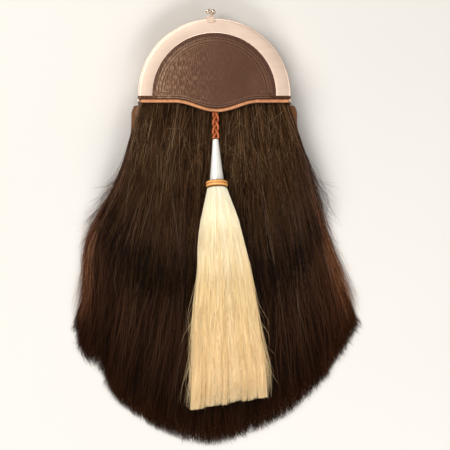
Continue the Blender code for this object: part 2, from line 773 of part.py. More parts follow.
def tassel_ring(start, end):
    axis = (end - start).normalized()
    top = end + axis * GAP
    bottom = top + axis * COLLAR_LENGTH
    edge = COLLAR_LENGTH * 0.22
    profile = [
        (0.0, COLLAR_BORE),
        (0.0, COLLAR_RADIUS - edge),
        (edge * 0.3, COLLAR_RADIUS - edge * 0.3),
        (edge, COLLAR_RADIUS),
        (COLLAR_LENGTH - edge, COLLAR_RADIUS),
        (COLLAR_LENGTH - edge * 0.3, COLLAR_RADIUS - edge * 0.3),
        (COLLAR_LENGTH, COLLAR_RADIUS - edge),
        (COLLAR_LENGTH, COLLAR_BORE),
    ]
    solid("tassel_ring", *turned(profile, top, bottom, 20), "tan leather")
    return bottom + axis * GAP, axis


# Shares: place along the tassel, half width, thickness and sideways drift of its middle.
TASSEL_SECTIONS = [
    {"along": 0.0, "width": 0.24, "thick": 0.96, "drift": 0.0},
    {"along": 0.03, "width": 0.27, "thick": 1.0, "drift": 0.05},
    {"along": 0.08, "width": 0.38, "thick": 0.98, "drift": 0.15},
    {"along": 0.16, "width": 0.50, "thick": 0.93, "drift": 0.24},
    {"along": 0.26, "width": 0.60, "thick": 0.86, "drift": 0.38},
    {"along": 0.38, "width": 0.69, "thick": 0.79, "drift": 0.60},
    {"along": 0.52, "width": 0.80, "thick": 0.72, "drift": 0.66},
    {"along": 0.66, "width": 0.88, "thick": 0.65, "drift": 0.76},
    {"along": 0.80, "width": 0.95, "thick": 0.56, "drift": 0.95},
    {"along": 0.92, "width": 1.0, "thick": 0.46, "drift": 1.0},
    {"along": 1.0, "width": 1.02, "thick": 0.36, "drift": 0.95},
]


def tassel_hair(tree, head, axis):
    pick = random.Random(TASSEL_SEED)
    over_columns = TASSEL_LOCKS * 2
    under_columns = TASSEL_LOCKS - 1
    count = over_columns + under_columns
    tips = [pick.random() for _ in range(count)]
    rings = []
    for row in TASSEL_SECTIONS:
        y = head.y - TASSEL_LENGTH * row["along"]
        middle = head.x + TASSEL_DRIFT * row["drift"]
        half_width = TASSEL_HALF_WIDTH * row["width"]
        half_thick = TASSEL_THICKNESS * row["thick"] / 2
        settle = smoothstep(row["along"] / 0.12)
        bed = rest_height(tree, middle, y, COLLAR_RADIUS * 0.7) + half_thick * 0.9
        centre = head.z + (bed - head.z) * settle
        ragged = TASSEL_LENGTH * 0.045 * smoothstep((row["along"] - 0.8) / 0.2)
        ring = []
        for j in range(count):
            if j <= over_columns:
                angle = math.pi * j / over_columns
            else:
                angle = math.pi + math.pi * (j - over_columns) / under_columns
            ridge = 1.0
            if 0 < j < over_columns and j % 2 == 0:
                ridge = 0.88
            x = middle + half_width * math.cos(angle)
            z = centre + half_thick * math.sin(angle) * ridge
            lean = ((z - centre) * axis.z + (x - middle) * axis.x) / axis.y * (1 - settle)
            tip_y = y - lean - ragged * (tips[j] if j % 2 else -0.6 + tips[j] * 0.3)
            floor = rest_height(tree, x, tip_y, TASSEL_THICKNESS * 0.3)
            ring.append((x, tip_y, max(z, floor)))
        rings.append(ring)
    last = TASSEL_SECTIONS[-1]
    end_y = head.y - TASSEL_LENGTH * (last["along"] - 0.05)
    end_x = head.x + TASSEL_DRIFT * last["drift"]
    end_z = rest_height(tree, end_x, end_y, GAP * 4) + TASSEL_THICKNESS * last["thick"] / 2
    return solid("tassel_hair", *loft(rings, end_points=(None, (end_x, end_y, end_z))), "cream hair")


def build():
    for left_over in list(bpy.data.objects):
        bpy.data.objects.remove(left_over)
    frame_half("front_frame", 1, inner=False)
    frame_half("back_frame", -1, inner=True)
    hinge_rivet("hinge_rivet_left", -1)
    hinge_rivet("hinge_rivet_right", 1)
    clasp_half("front_clasp", 1, -1)
    clasp_half("back_clasp", -1, 1)
    belt_loop()
    body = pouch_body()
    front_panel()
    piping()
    bpy.context.view_layer.update()
    hair = hair_skirt(body)
    bpy.context.view_layer.update()
    hair_top = skin_of(hair)
    start, end = tassel_axis(hair_top)
    braid(hair_top, start)
    tassel_cone(start, end)
    head, axis = tassel_ring(start, end)
    tassel_hair(hair_top, head, axis)


build()
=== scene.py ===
import math

import bmesh
import bpy
import numpy as np
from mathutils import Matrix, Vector, noise
from mathutils.bvhtree import BVHTree
from mathutils.geometry import tessellate_polygon


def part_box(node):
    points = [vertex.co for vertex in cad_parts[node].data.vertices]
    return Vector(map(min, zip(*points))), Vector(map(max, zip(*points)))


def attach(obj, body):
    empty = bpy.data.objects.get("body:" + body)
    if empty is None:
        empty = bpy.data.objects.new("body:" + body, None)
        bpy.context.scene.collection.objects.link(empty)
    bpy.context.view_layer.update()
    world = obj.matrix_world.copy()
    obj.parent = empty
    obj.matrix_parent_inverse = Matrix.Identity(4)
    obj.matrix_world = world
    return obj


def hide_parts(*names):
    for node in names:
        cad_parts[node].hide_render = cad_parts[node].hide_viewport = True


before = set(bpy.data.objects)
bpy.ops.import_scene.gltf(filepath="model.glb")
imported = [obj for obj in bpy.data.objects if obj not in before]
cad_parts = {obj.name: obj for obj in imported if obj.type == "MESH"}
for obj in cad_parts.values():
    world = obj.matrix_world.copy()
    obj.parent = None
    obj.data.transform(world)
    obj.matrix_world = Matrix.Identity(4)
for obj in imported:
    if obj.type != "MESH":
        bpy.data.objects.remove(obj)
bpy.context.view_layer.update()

# Lengths are in metres: mm turns the sizes below into them.
mm = 0.001
body = "root"
seam = 0.3 * mm  # gap between neighbouring pieces


def startScene():
    scene = bpy.context.scene
    for leftOver in [o for o in scene.objects if o.type in {"CAMERA", "LIGHT"}]:
        bpy.data.objects.remove(leftOver)
    scene.view_settings.view_transform = "Standard"
    scene.view_settings.look = "None"


# Socket maths and node making, for materials and for Geometry Nodes alike.
class Wire:
    def __init__(self, graph, socket):
        self.graph = graph
        self.socket = socket

    def math(self, operation, other=None, first=False):
        values = (other, self) if first else (self, other)
        sockets = {i: v for i, v in enumerate(values) if v is not None}
        return self.graph.node("ShaderNodeMath", {"operation": operation}, sockets)

    def __add__(self, other):
        return self.math("ADD", other)

    def __radd__(self, other):
        return self.math("ADD", other)

    def __sub__(self, other):
        return self.math("SUBTRACT", other)

    def __rsub__(self, other):
        return self.math("SUBTRACT", other, first=True)

    def __mul__(self, other):
        return self.math("MULTIPLY", other)

    def __rmul__(self, other):
        return self.math("MULTIPLY", other)

    def __truediv__(self, other):
        return self.math("DIVIDE", other)

    def __rtruediv__(self, other):
        return self.math("DIVIDE", other, first=True)

    def __pow__(self, other):
        return self.math("POWER", other)

    def size(self):
        return self.math("ABSOLUTE")

    def atMost(self, other):
        return self.math("MINIMUM", other)

    def atLeast(self, other):
        return self.math("MAXIMUM", other)

    def between(self, low, high):
        return self.graph.node(
            "ShaderNodeMapRange",
            {"interpolation_type": "SMOOTHSTEP"},
            {"Value": self, "From Min": low, "From Max": high},
        )


class Graph:
    def __init__(self, tree):
        self.tree = tree

    def node(self, kind, settings=None, sockets=None, out=0):
        made = self.tree.nodes.new(kind)
        for key, value in (settings or {}).items():
            if key == "stops":
                self.setStops(made.color_ramp, value)
            else:
                setattr(made, key, value)
        for key, value in (sockets or {}).items():
            target = made.inputs[key]
            if isinstance(value, Wire):
                self.tree.links.new(value.socket, target)
            else:
                target.default_value = value
        return Wire(self, made.outputs[out])

    def output(self, wire, name):
        return Wire(self, wire.socket.node.outputs[name])

    def setStops(self, ramp, stops):
        while len(ramp.elements) < len(stops):
            ramp.elements.new(1.0)
        for element, (place, colour) in zip(ramp.elements, stops):
            element.position = place
            element.color = (*colour, 1.0)

    def ramp(self, factor, stops):
        return self.node("ShaderNodeValToRGB", {"stops": stops}, {"Fac": factor})

    def mixColour(self, factor, one, two, blend="MIX"):
        settings = {"data_type": "RGBA", "blend_type": blend}
        values = [v if isinstance(v, Wire) else (*v, 1.0) for v in (one, two)]
        return self.node("ShaderNodeMix", settings, {0: factor, 6: values[0], 7: values[1]}, out=2)

    def noise(self, vector, scale, detail=3.0, roughness=0.5):
        sockets = {"Vector": vector, "Scale": scale, "Detail": detail, "Roughness": roughness}
        return self.node("ShaderNodeTexNoise", None, sockets)

    def objectPlace(self):
        return self.output(self.node("ShaderNodeTexCoord"), "Object")

    def stretched(self, scale, place=None):
        if place is None:
            place = self.objectPlace()
        return self.node("ShaderNodeMapping", None, {"Vector": place, "Scale": scale})

    def attribute(self, name):
        return self.output(self.node("ShaderNodeAttribute", {"attribute_name": name}), "Fac")

    def parts(self, vector):
        made = self.node("ShaderNodeSeparateXYZ", None, {0: vector})
        return [self.output(made, axis) for axis in ("X", "Y", "Z")]


def newMaterial(name, paint):
    material = bpy.data.materials.new(name)
    material.use_nodes = True
    graph = Graph(material.node_tree)
    shader = material.node_tree.nodes["Principled BSDF"]
    varying, fixed, bumps = paint(graph)
    for key, value in fixed.items():
        shader.inputs[key].default_value = value
    for key, wire in varying.items():
        material.node_tree.links.new(wire.socket, shader.inputs[key])
    normal = None
    for height, strength, distance in bumps:
        sockets = {"Height": height, "Strength": strength, "Distance": distance}
        if normal:
            sockets["Normal"] = normal
        normal = graph.node("ShaderNodeBump", None, sockets)
    if normal:
        material.node_tree.links.new(normal.socket, shader.inputs["Normal"])
    return material


# Satin metal tints: a pinkish cream that is a painted warm reflection over the steel's pale tone, varied at
# random.
satinTintsWithWarmReflection = [(0.3, (0.80, 0.62, 0.50)), (0.7, (0.88, 0.70, 0.58))]


def satinMetal(graph):
    fine = graph.noise(graph.stretched((1100, 1100, 1100)), 1.0, 3.0, 0.6)
    broad = graph.noise(graph.stretched((16, 16, 16)), 1.0, 3.0)
    rubbed = graph.noise(graph.stretched((60, 240, 60)), 1.0, 3.0)
    colour = graph.ramp(broad * 0.6 + rubbed * 0.4, satinTintsWithWarmReflection)
    return (
        {"Base Color": colour, "Roughness": 0.34 + fine * 0.12 + rubbed * 0.06},
        {"Metallic": 1.0},
        [(fine, 0.10, 0.04 * mm), (rubbed, 0.04, 0.3 * mm)],
    )


def polishedMetal(graph):
    cloud = graph.noise(graph.stretched((180, 180, 180)), 1.0, 3.0)
    satin = graph.attribute("satin")
    # The satin plate takes the darker satin tint, with its painted warm reflection.
    colour = graph.mixColour(satin, (0.84, 0.72, 0.62), satinTintsWithWarmReflection[0][1])
    return (
        {"Base Color": colour, "Roughness": 0.10 + cloud * 0.12 + satin * 0.28},
        {"Metallic": 1.0},
        [(cloud, 0.08, 0.05 * mm)],
    )


def coneMetal(graph):
    lines = graph.noise(graph.stretched((60, 1100, 60)), 1.0, 3.0)
    colour = graph.ramp(lines, [(0.3, (0.95, 0.94, 0.88)), (0.7, (0.99, 0.985, 0.94))])
    return (
        {"Base Color": colour, "Roughness": 0.16 + lines * 0.14},
        {"Metallic": 0.35},
        [(lines, 0.05, 0.04 * mm)],
    )


# Lunette: streaky upright grain, with painted light from the left that makes it paler there, painted
# highlights on the streaks and on the tooled ridges, painted shade in the crease above the piping and a
# painted shadow under the ring's inner edge, with tooled lines along the arch and the lower edge.
def tooledLeather(graph):
    x, y = graph.parts(graph.objectPlace())[:2]
    streaks = graph.noise(graph.stretched((1350, 210, 60)), 1.0, 2.0, 0.5)
    fine = graph.noise(graph.stretched((1900, 700, 300)), 1.0, 3.0)
    patch = graph.noise(graph.stretched((45, 28, 20)), 1.0, 3.0)
    # Painted light: the leather is made paler towards the left, the side the light comes from.
    paintedLeftLight = (0.34 - x / panel["paintedLightRun"]).between(0.25, 0.85)
    # Pale upright grain marks, partly the leather's own grain and partly painted highlights, nearly all on
    # the painted-lit left.
    paleGrainAndHighlight = streaks.between(0.50, 0.64) * (0.04 + paintedLeftLight * 0.96)
    base = graph.ramp(
        patch * 0.4 + streaks * 0.3 + paintedLeftLight * 0.3,
        [(0.2, (0.056, 0.020, 0.008)), (0.8, (0.120, 0.050, 0.024))],
    )
    colour = graph.mixColour(paleGrainAndHighlight * 0.7, base, (0.40, 0.25, 0.15))
    radius = (x * x + y * y) ** 0.5
    fromRim = (radius - (panel["rim"] - 0.8 * mm)).size()
    shadow = (1 - fromRim.between(0.0, 1.8 * mm)) * y.between(-3 * mm, 3 * mm)
    tooled = graph.attribute("tool")
    raised = graph.attribute("ridge")
    # Dark tooled lines, stronger towards the painted light on the left.
    colour = graph.mixColour(tooled * (0.4 + paintedLeftLight * 0.4), colour, (0.030, 0.012, 0.006))
    # Painted highlight along the raised edges of the tooled lines, stronger on the left.
    colour = graph.mixColour(raised * (0.15 + paintedLeftLight * 0.45), colour, (0.42, 0.27, 0.17))
    colour = graph.mixColour(shadow * 0.7, colour, (0.035, 0.015, 0.009))
    # Painted shade in the crease where the apron meets the piping.
    colour = graph.mixColour(graph.attribute("welt") * 0.85, colour, (0.045, 0.010, 0.005))
    return (
        {"Base Color": colour, "Roughness": 0.50 - paleGrainAndHighlight * 0.16 + fine * 0.1},
        {"Specular IOR Level": 0.25},
        [(streaks * (0.35 + paintedLeftLight * 0.65), 0.8, 0.5 * mm), (fine, 0.3, 0.12 * mm)],
    )


leatherTones = {
    "gusset": {"dark": (0.078, 0.025, 0.005), "light": (0.190, 0.070, 0.016), "grain": 700.0, "rough": 0.42},
    "piping": {"dark": (0.33, 0.12, 0.048), "light": (0.62, 0.295, 0.132), "grain": 900.0, "rough": 0.38},
    "collar": {"dark": (0.60, 0.25, 0.065), "light": (0.95, 0.50, 0.16), "grain": 900.0, "rough": 0.4},
    "plait": {"dark": (0.24, 0.045, 0.012), "light": (0.52, 0.135, 0.04), "grain": 800.0, "rough": 0.45},
}


# Plain leather, with painted shade where its "edge" attribute nears 1: on the rounded sides of the piping and
# plait strands, and on the collar's rounded edges and groove.
def smoothLeather(kind):
    tone = leatherTones[kind]
    grain = tone["grain"]

    def paint(graph):
        spot = graph.stretched((grain, grain, grain))
        pores = graph.node("ShaderNodeTexVoronoi", None, {"Vector": spot, "Scale": 1.0})
        patch = graph.noise(graph.stretched((40, 40, 40)), 1.0, 4.0)
        mottle = graph.noise(graph.stretched((260, 260, 260)), 1.0, 4.0)
        colour = graph.ramp(patch * 0.45 + mottle * 0.55, [(0.3, tone["dark"]), (0.7, tone["light"])])
        # Painted shade: darker towards the sides and grooves that the "edge" attribute marks.
        edge = graph.attribute("edge").between(0.55, 1.0)
        colour = graph.mixColour(edge * 0.85, colour, tuple(c * 0.22 for c in tone["dark"]))
        return (
            {"Base Color": colour, "Roughness": tone["rough"] - 0.08 + patch * 0.2},
            {"Specular IOR Level": 0.3},
            [(pores, 0.35, 0.12 * mm), (patch, 0.2, 0.5 * mm)],
        )

    return paint


def threadFinish(colour):
    def paint(graph):
        twist = graph.noise(graph.stretched((1600, 1600, 1600)), 1.0, 2.0)
        shade = graph.ramp(twist, [(0.3, tuple(c * 0.7 for c in colour)), (0.7, colour)])
        return {"Base Color": shade, "Roughness": 0.6 + twist * 0.2}, {}, [(twist, 0.3, 0.1 * mm)]

    return paint


# Strands carry "tint", one random value each, and "along", from root to tip.
def strandFinish(stops, tips, roughness):
    def paint(graph):
        tint = graph.attribute("tint")
        along = graph.attribute("along")
        x = graph.parts(graph.objectPlace())[0]
        outward = (x.size() / hair["halfWidth"]).between(0.55, 1.0)
        colour = graph.ramp(tint, stops)
        # Redder towards the tip, and towards the skirt's sides as a painted glow of thin, backlit strands.
        tipTintAndRimGlow = (along.between(*tips["place"]) + outward * tips["outward"]).atMost(1.0)
        colour = graph.mixColour(tipTintAndRimGlow * tips["share"], colour, tips["colour"])
        # Multiplied by the "lay" ramp from root to tip; on the dark skirt and the tassel this is painted
        # light and shade.
        colour = graph.mixColour(1.0, colour, graph.ramp(along, tips["lay"]), "MULTIPLY")
        return (
            {"Base Color": colour, "Roughness": roughness + tint * 0.12},
            {"Specular IOR Level": tips["shine"]},
            [],
        )

    return paint


# The mass below the strands: streaks along its own map.
def massFinish(tones, roughness):
    def paint(graph):
        lay = graph.output(graph.node("ShaderNodeUVMap", {"uv_map": "lay"}), "UV")
        streaks = graph.noise(graph.stretched((420, 7, 1), lay), 1.0, 4.0, 0.7)
        colour = graph.ramp(streaks, tones)
        return (
            {"Base Color": colour, "Roughness": roughness + streaks * 0.15},
            {"Specular IOR Level": 0.08},
            [(streaks, 0.9, 1.2 * mm)],
        )

    return paint


# Hair colours: by each strand's tint, then changed towards its tip and, on the skirt, towards its sides,
# where the redder colour is a painted glow of backlit strands; each "lay" ramp then multiplies the colour
# from root to tip, as painted light and shade down the dark skirt and, on the tassel, partly its own tan and
# partly painted light.
darkTints = [
    (0.0, (0.010, 0.0045, 0.0015)),
    (0.62, (0.038, 0.017, 0.0060)),
    (0.86, (0.155, 0.078, 0.033)),
    (1.0, (0.48, 0.32, 0.19)),
]
looseTints = [
    (0.0, (0.015, 0.006, 0.0025)),
    (0.55, (0.055, 0.020, 0.008)),
    (0.85, (0.11, 0.048, 0.022)),
    (1.0, (0.34, 0.26, 0.19)),
]
# Fringe tints: the hair's own dark brown, rising to a reddish brown that is a painted glow of thin, backlit
# edge strands.
fringeTints = [(0.0, (0.03, 0.011, 0.005)), (0.6, (0.17, 0.058, 0.024)), (1.0, (0.50, 0.26, 0.13))]
creamTints = [(0.0, (0.70, 0.55, 0.32)), (0.4, (0.94, 0.88, 0.66)), (1.0, (0.99, 0.98, 0.90))]
darkMass = [(0.3, (0.004, 0.0018, 0.0008)), (0.7, (0.014, 0.006, 0.0025))]
creamMass = [(0.3, (0.76, 0.58, 0.30)), (0.7, (0.90, 0.78, 0.50))]
darkTips = {
    "place": (0.8, 1.0),
    "share": 0.3,
    "colour": (0.075, 0.021, 0.0075),
    "outward": 0.2,
    "shine": 0.05,
    # Painted light and shade down the skirt: lit at the top, shaded lower down; lighter again at the very
    # tips.
    "lay": [
        (0.0, (1.0, 1.0, 1.0)),
        (0.12, (0.84, 0.82, 0.78)),
        (0.30, (0.40, 0.36, 0.28)),
        (0.42, (0.24, 0.20, 0.13)),
        (0.65, (0.15, 0.11, 0.065)),
        (0.90, (0.15, 0.11, 0.065)),
        (0.97, (0.36, 0.27, 0.18)),
        (1.0, (0.60, 0.45, 0.30)),
    ],
}
looseTips = {
    "place": (0.6, 1.0),
    "share": 0.5,
    "colour": (0.13, 0.042, 0.016),
    "outward": 0.45,
    "shine": 0.15,
    "lay": [(0.3, (1.0, 1.0, 1.0)), (1.0, (0.75, 0.7, 0.62))],
}
fringeTips = {
    "place": (0.6, 1.0),
    "share": 0.2,
    "colour": (0.16, 0.055, 0.022),
    "outward": 0.0,
    "shine": 0.15,
    "lay": [(0.2, (0.6, 0.6, 0.6)), (0.4, (1.0, 1.0, 1.0)), (1.0, (0.9, 0.85, 0.8))],
}
creamTips = {
    "place": (0.0, 0.75),
    "share": 0.25,
    "colour": (0.85, 0.62, 0.36),
    "outward": 0.0,
    "shine": 0.6,
    # The tassel's own tan, darkest about the middle, with painted light that makes its lower part lighter
    # against the shade it gets there; lighter again at the tips.
    "lay": [
        (0.0, (1.0, 1.0, 1.0)),
        (0.12, (0.95, 0.90, 0.80)),
        (0.45, (0.80, 0.66, 0.44)),
        (0.85, (0.90, 0.75, 0.54)),
        (1.0, (1.0, 0.90, 0.72)),
    ],
}


def makeMaterials():
    return {
        "satin": newMaterial("satinSteelBand", satinMetal),
        "polished": newMaterial("polishedLock", polishedMetal),
        "cone": newMaterial("brightCone", coneMetal),
        "tooled": newMaterial("tooledBrownLeather", tooledLeather),
        "gusset": newMaterial("gussetLeather", smoothLeather("gusset")),
        "piping": newMaterial("tanPiping", smoothLeather("piping")),
        "collar": newMaterial("tanCollar", smoothLeather("collar")),
        "plait": newMaterial("plaitLeather", smoothLeather("plait")),
        "darkThread": newMaterial("darkThread", threadFinish((0.028, 0.010, 0.005))),
        "paleThread": newMaterial("paleThread", threadFinish((0.42, 0.29, 0.17))),
        "darkStrands": newMaterial("darkHorseHair", strandFinish(darkTints, darkTips, 0.36)),
        "looseStrands": newMaterial("looseHorseHair", strandFinish(looseTints, looseTips, 0.3)),
        "fringeStrands": newMaterial("fringeHorseHair", strandFinish(fringeTints, fringeTips, 0.34)),
        "creamStrands": newMaterial("creamHorseHair", strandFinish(creamTints, creamTips, 0.38)),
        "darkMass": newMaterial("darkHairMass", massFinish(darkMass, 0.55)),
        "creamMass": newMaterial("creamHairMass", massFinish(creamMass, 0.5)),
    }


# Mesh helpers. A piece is a closed mesh with its finish and the node that it replaces.
def piece(name, verts, faces, material, replaced, smooth=35):
    mesh = bpy.data.meshes.new(name)
    mesh.from_pydata([tuple(v) for v in verts], [], faces)
    shape = bmesh.new()
    shape.from_mesh(mesh)
    bmesh.ops.recalc_face_normals(shape, faces=shape.faces)
    shape.to_mesh(mesh)
    shape.free()
    mesh.shade_smooth()
    mesh.set_sharp_from_angle(angle=math.radians(smooth))
    made = bpy.data.objects.new(name, mesh)
    bpy.context.scene.collection.objects.link(made)
    return finishPiece(made, material, replaced)


def addLayer(made, name, values):
    layer = made.data.attributes.new(name, "FLOAT", "POINT")
    layer.data.foreach_set("value", values)


def finishPiece(made, material, replaced=()):
    made.data.materials.clear()
    made.data.materials.append(material)
    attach(made, body)
    if replaced:
        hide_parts(*replaced)
    return made


# Faces between one ring of points and the next, with a cap at each end or a last step back to the first.
def loft(rings, closed=False):
    count = len(rings[0])
    verts = [p for points in rings for p in points]
    faces = []
    for i in range(len(rings) if closed else len(rings) - 1):
        a = i * count
        b = (i + 1) % len(rings) * count
        for j in range(count):
            k = (j + 1) % count
            faces.append((a + j, a + k, b + k, b + j))
    if not closed:
        faces += [tuple(range(start, start + count)) for start in (0, (len(rings) - 1) * count)]
    return verts, faces


def joined(*shapes):
    verts = []
    faces = []
    for someVerts, someFaces in shapes:
        faces += [tuple(v + len(verts) for v in face) for face in someFaces]
        verts += someVerts
    return verts, faces


# A profile of pairs, how far along the axis and how far from it, turned round that axis.
def turned(profile, start, axis, sides, closed=False):
    across = axis.cross(Vector((0.3, 0.2, 1.0))).normalized()
    up = across.cross(axis)
    turns = [2 * math.pi * i / sides for i in range(sides)]
    rings = []
    for along, radius in profile:
        middle = start + axis * along
        rings.append([middle + (across * math.cos(a) + up * math.sin(a)) * radius for a in turns])
    return loft(rings, closed)


# How far round to its sides each point of a ring lies.
def sideShares(sides):
    return [abs(math.cos(2 * math.pi * j / sides)) for j in range(sides)]


# Rings round a path; level ones close its two ends across y.
def tube(path, radii, sides, flat=(1.0, 1.0), level=False):
    rings = []
    last = len(path) - 1
    for i, point in enumerate(path):
        along = (path[min(i + 1, last)] - path[max(i - 1, 0)]).normalized()
        if level and i in (0, last):
            along = Vector((0, -1, 0))
        across = along.cross(Vector((0, 0, 1))).normalized() * flat[0]
        up = across.cross(along).normalized() * flat[1]
        turns = [2 * math.pi * j / sides for j in range(sides)]
        rings.append([point + (across * math.cos(a) + up * math.sin(a)) * radii[i] for a in turns])
    return rings


# An outline drawn out from low to high; place turns its two measures and the height into a point.
def prism(outline, low, high, place, bevel=0.0):
    rings = []
    midU, midV = [sum(v) / len(outline) for v in zip(*outline)]
    reach = max(math.dist(p, (midU, midV)) for p in outline)
    for w, inset in ((low, bevel), (low + bevel, 0.0), (high - bevel, 0.0), (high, bevel)):
        shrink = 1 - inset / reach
        rings.append([place(midU + (u - midU) * shrink, midV + (v - midV) * shrink, w) for u, v in outline])
    return loft(rings)


# An outline with its corners rounded.
def softened(outline, radius, steps):
    result = []
    count = len(outline)
    for i, corner in enumerate(outline):
        here = Vector(corner)
        before = Vector(outline[i - 1]) - here
        after = Vector(outline[(i + 1) % count]) - here
        a = here + before.normalized() * min(radius, before.length * 0.45)
        b = here + after.normalized() * min(radius, after.length * 0.45)
        for j in range(steps + 1):
            t = j / steps
            result.append(tuple(a * (1 - t) ** 2 + here * 2 * t * (1 - t) + b * t * t))
    return result


def smoothstep(value):
    share = min(max(value, 0.0), 1.0)
    return share * share * (3 - 2 * share)


# A smooth curve through values at rising keys, read at one place.
def through(keys, values, at):
    slopes = np.gradient(values, keys)
    i = int(np.clip(np.searchsorted(keys, at) - 1, 0, len(keys) - 2))
    span = keys[i + 1] - keys[i]
    t = min(max((at - keys[i]) / span, 0.0), 1.0)
    start = (1 + 2 * t) * (1 - t) ** 2 * values[i] + t * (1 - t) ** 2 * span * slopes[i]
    end = t * t * (3 - 2 * t) * values[i + 1] + t * t * (t - 1) * span * slopes[i + 1]
    return float(start + end)


def column(table, name):
    return np.array([row[name] for row in table], float)


def nodeTree(node):
    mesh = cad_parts[node].data
    points = [v.co.copy() for v in mesh.vertices]
    return BVHTree.FromPolygons(points, [tuple(p.vertices) for p in mesh.polygons])


# Frame halves: a band with a beaded rim, its flange, the hinge lugs and, at the back, the joggle blocks.
ringLow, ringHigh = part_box("front_frame")
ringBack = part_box("back_frame")[0][2]
ring = {
    "radius": (ringHigh[0] - ringLow[0]) / 2,
    "band": 14.5 * mm,
    "sheet": 1.4 * mm,
    "foot": 1.0 * mm,
    "parting": (ringHigh[2] + ringBack) / 2,
    "halfDepth": (ringHigh[2] - ringBack) / 2,
    "lugDrop": 6.0 * mm,
    "lugRadius": 4.2 * mm,
    "shelf": 3.0 * mm,
    "steps": 150,
}
rivet = {"radius": 1.0 * mm, "headRadius": 2.5 * mm, "head": 1.1 * mm, "sides": 32}
leather = {"wall": 2.2 * mm, "radius": ring["radius"] - ring["sheet"] - seam}


def bandSection():
    outer = ring["radius"]
    half = ring["halfDepth"]
    sheet = ring["sheet"]
    bead = sheet * 0.42
    face = half - sheet / 6
    section = [(outer, seam / 2)]
    for i in range(9):
        angle = math.radians(150 * i / 8)
        section.append((outer - bead + bead * math.cos(angle), half - bead + bead * math.sin(angle)))
    section.append((outer - sheet * 0.95, half - sheet / 4))
    edge = sheet * 5 / 12
    start = outer - sheet * 1.3
    end = outer - ring["band"] + edge
    for i in range(9):
        share = i / 8
        section.append((start + (end - start) * share, face + 0.14 * mm * math.sin(math.pi * share)))
    for i in range(1, 9):
        angle = math.radians(90 + 180 * i / 8)
        section.append((end + edge * math.cos(angle), face - edge + edge * math.sin(angle)))
    return section + [(outer - sheet, half - sheet), (outer - sheet, seam / 2)]


def band(side):
    steps = ring["steps"]
    spots = [(math.cos(math.pi * i / steps), math.sin(math.pi * i / steps), 0.0) for i in range(steps + 1)]
    spots = [(1.0, 0.0, -ring["foot"])] + spots + [(-1.0, 0.0, -ring["foot"])]
    section = bandSection()
    rings = []
    for c, s, drop in spots:
        rings.append([Vector((r * c, r * s + drop, ring["parting"] + side * h)) for r, h in section])
    return loft(rings)


def plateWithHole(outer, hole, low, high, place):
    flat = [[Vector((u, v, 0)) for u, v in loop] for loop in (outer, hole)]
    triangles = [tuple(t) for t in tessellate_polygon(flat)]
    loops = outer + hole
    count = len(loops)
    verts = [place(u, v, low) for u, v in loops] + [place(u, v, high) for u, v in loops]
    faces = triangles + [tuple(count + v for v in reversed(t)) for t in triangles]
    for start, length in ((0, len(outer)), (len(outer), len(hole))):
        for i in range(length):
            a = start + i
            b = start + (i + 1) % length
            faces.append((a, b, count + b, count + a))
    return verts, faces


def lugShapes(side, inner):
    shoulder = ring["foot"] + seam / 2
    reach = ring["halfDepth"] - 3 * ring["sheet"]
    sheet = ring["sheet"]
    pivot = -ring["lugDrop"]
    outline = [(ring["shelf"], sheet), (ring["shelf"], reach), (-shoulder, reach)]
    for degrees in range(120, 361, 8):
        angle = math.radians(degrees)
        outline.append((pivot + ring["lugRadius"] * math.cos(angle), ring["lugRadius"] * math.sin(angle)))
    outline.append((-shoulder, sheet))
    bore = rivet["radius"] + seam
    turns = [2 * math.pi * i / 24 for i in range(24)]
    hole = [(pivot + bore * math.cos(a), bore * math.sin(a)) for a in turns]
    lugX = leather["radius"] - sheet if inner else ring["radius"] - sheet
    shapes = []
    for hand in (-1, 1):

        def place(y, h, x):
            return Vector((hand * x, y, ring["parting"] + side * h))

        shapes.append(plateWithHole(outline, hole, lugX, lugX + sheet, place))
        if inner:
            block = [(0.0, sheet * 2), (0.0, reach), (ring["shelf"], reach), (ring["shelf"], sheet * 2)]
            shapes.append(prism(block, lugX + sheet / 2, ring["radius"] - sheet / 2, place))
    return shapes


def frameHalves(finish):
    halves = (("ringFront", "front_frame", 1, False), ("ringBack", "back_frame", -1, True))
    for name, node, side, inner in halves:
        verts, faces = joined(band(side), *lugShapes(side, inner))
        piece(name, verts, faces, finish, [node])


def hingeRivets(finish):
    innerFace = leather["radius"] - ring["sheet"] - seam
    outerFace = ring["radius"] + seam
    head = rivet["head"]
    wide = rivet["headRadius"]
    turns = [math.radians(a) for a in range(15, 76, 15)]
    dome = [(outerFace + head * math.sin(a), wide * math.cos(a)) for a in turns]
    back = [(innerFace - head * math.sin(a), wide * math.cos(a)) for a in reversed(turns)]
    shank = [(innerFace, wide), (innerFace, rivet["radius"]), (outerFace, rivet["radius"]), (outerFace, wide)]
    for hand, word in ((-1, "left"), (1, "right")):
        start = Vector((0, -ring["lugDrop"], ring["parting"]))
        verts, faces = turned(back + shank + dome, start, Vector((hand, 0, 0)), rivet["sides"])
        piece("hingeRivet" + word.capitalize(), verts, faces, finish, ["hinge_rivet_" + word])


# Kiss-lock: a base on each half, with a stem and a ball that snaps past the other.
clasp = {
    "x": -3.7 * mm,
    "width": 8.0 * mm,
    "reach": 8.0 * mm,
    "ball": 2.9 * mm,
    "stem": 1.6 * mm,
    "foot": 2.4 * mm,
    "softEdge": 0.3 * mm,
}


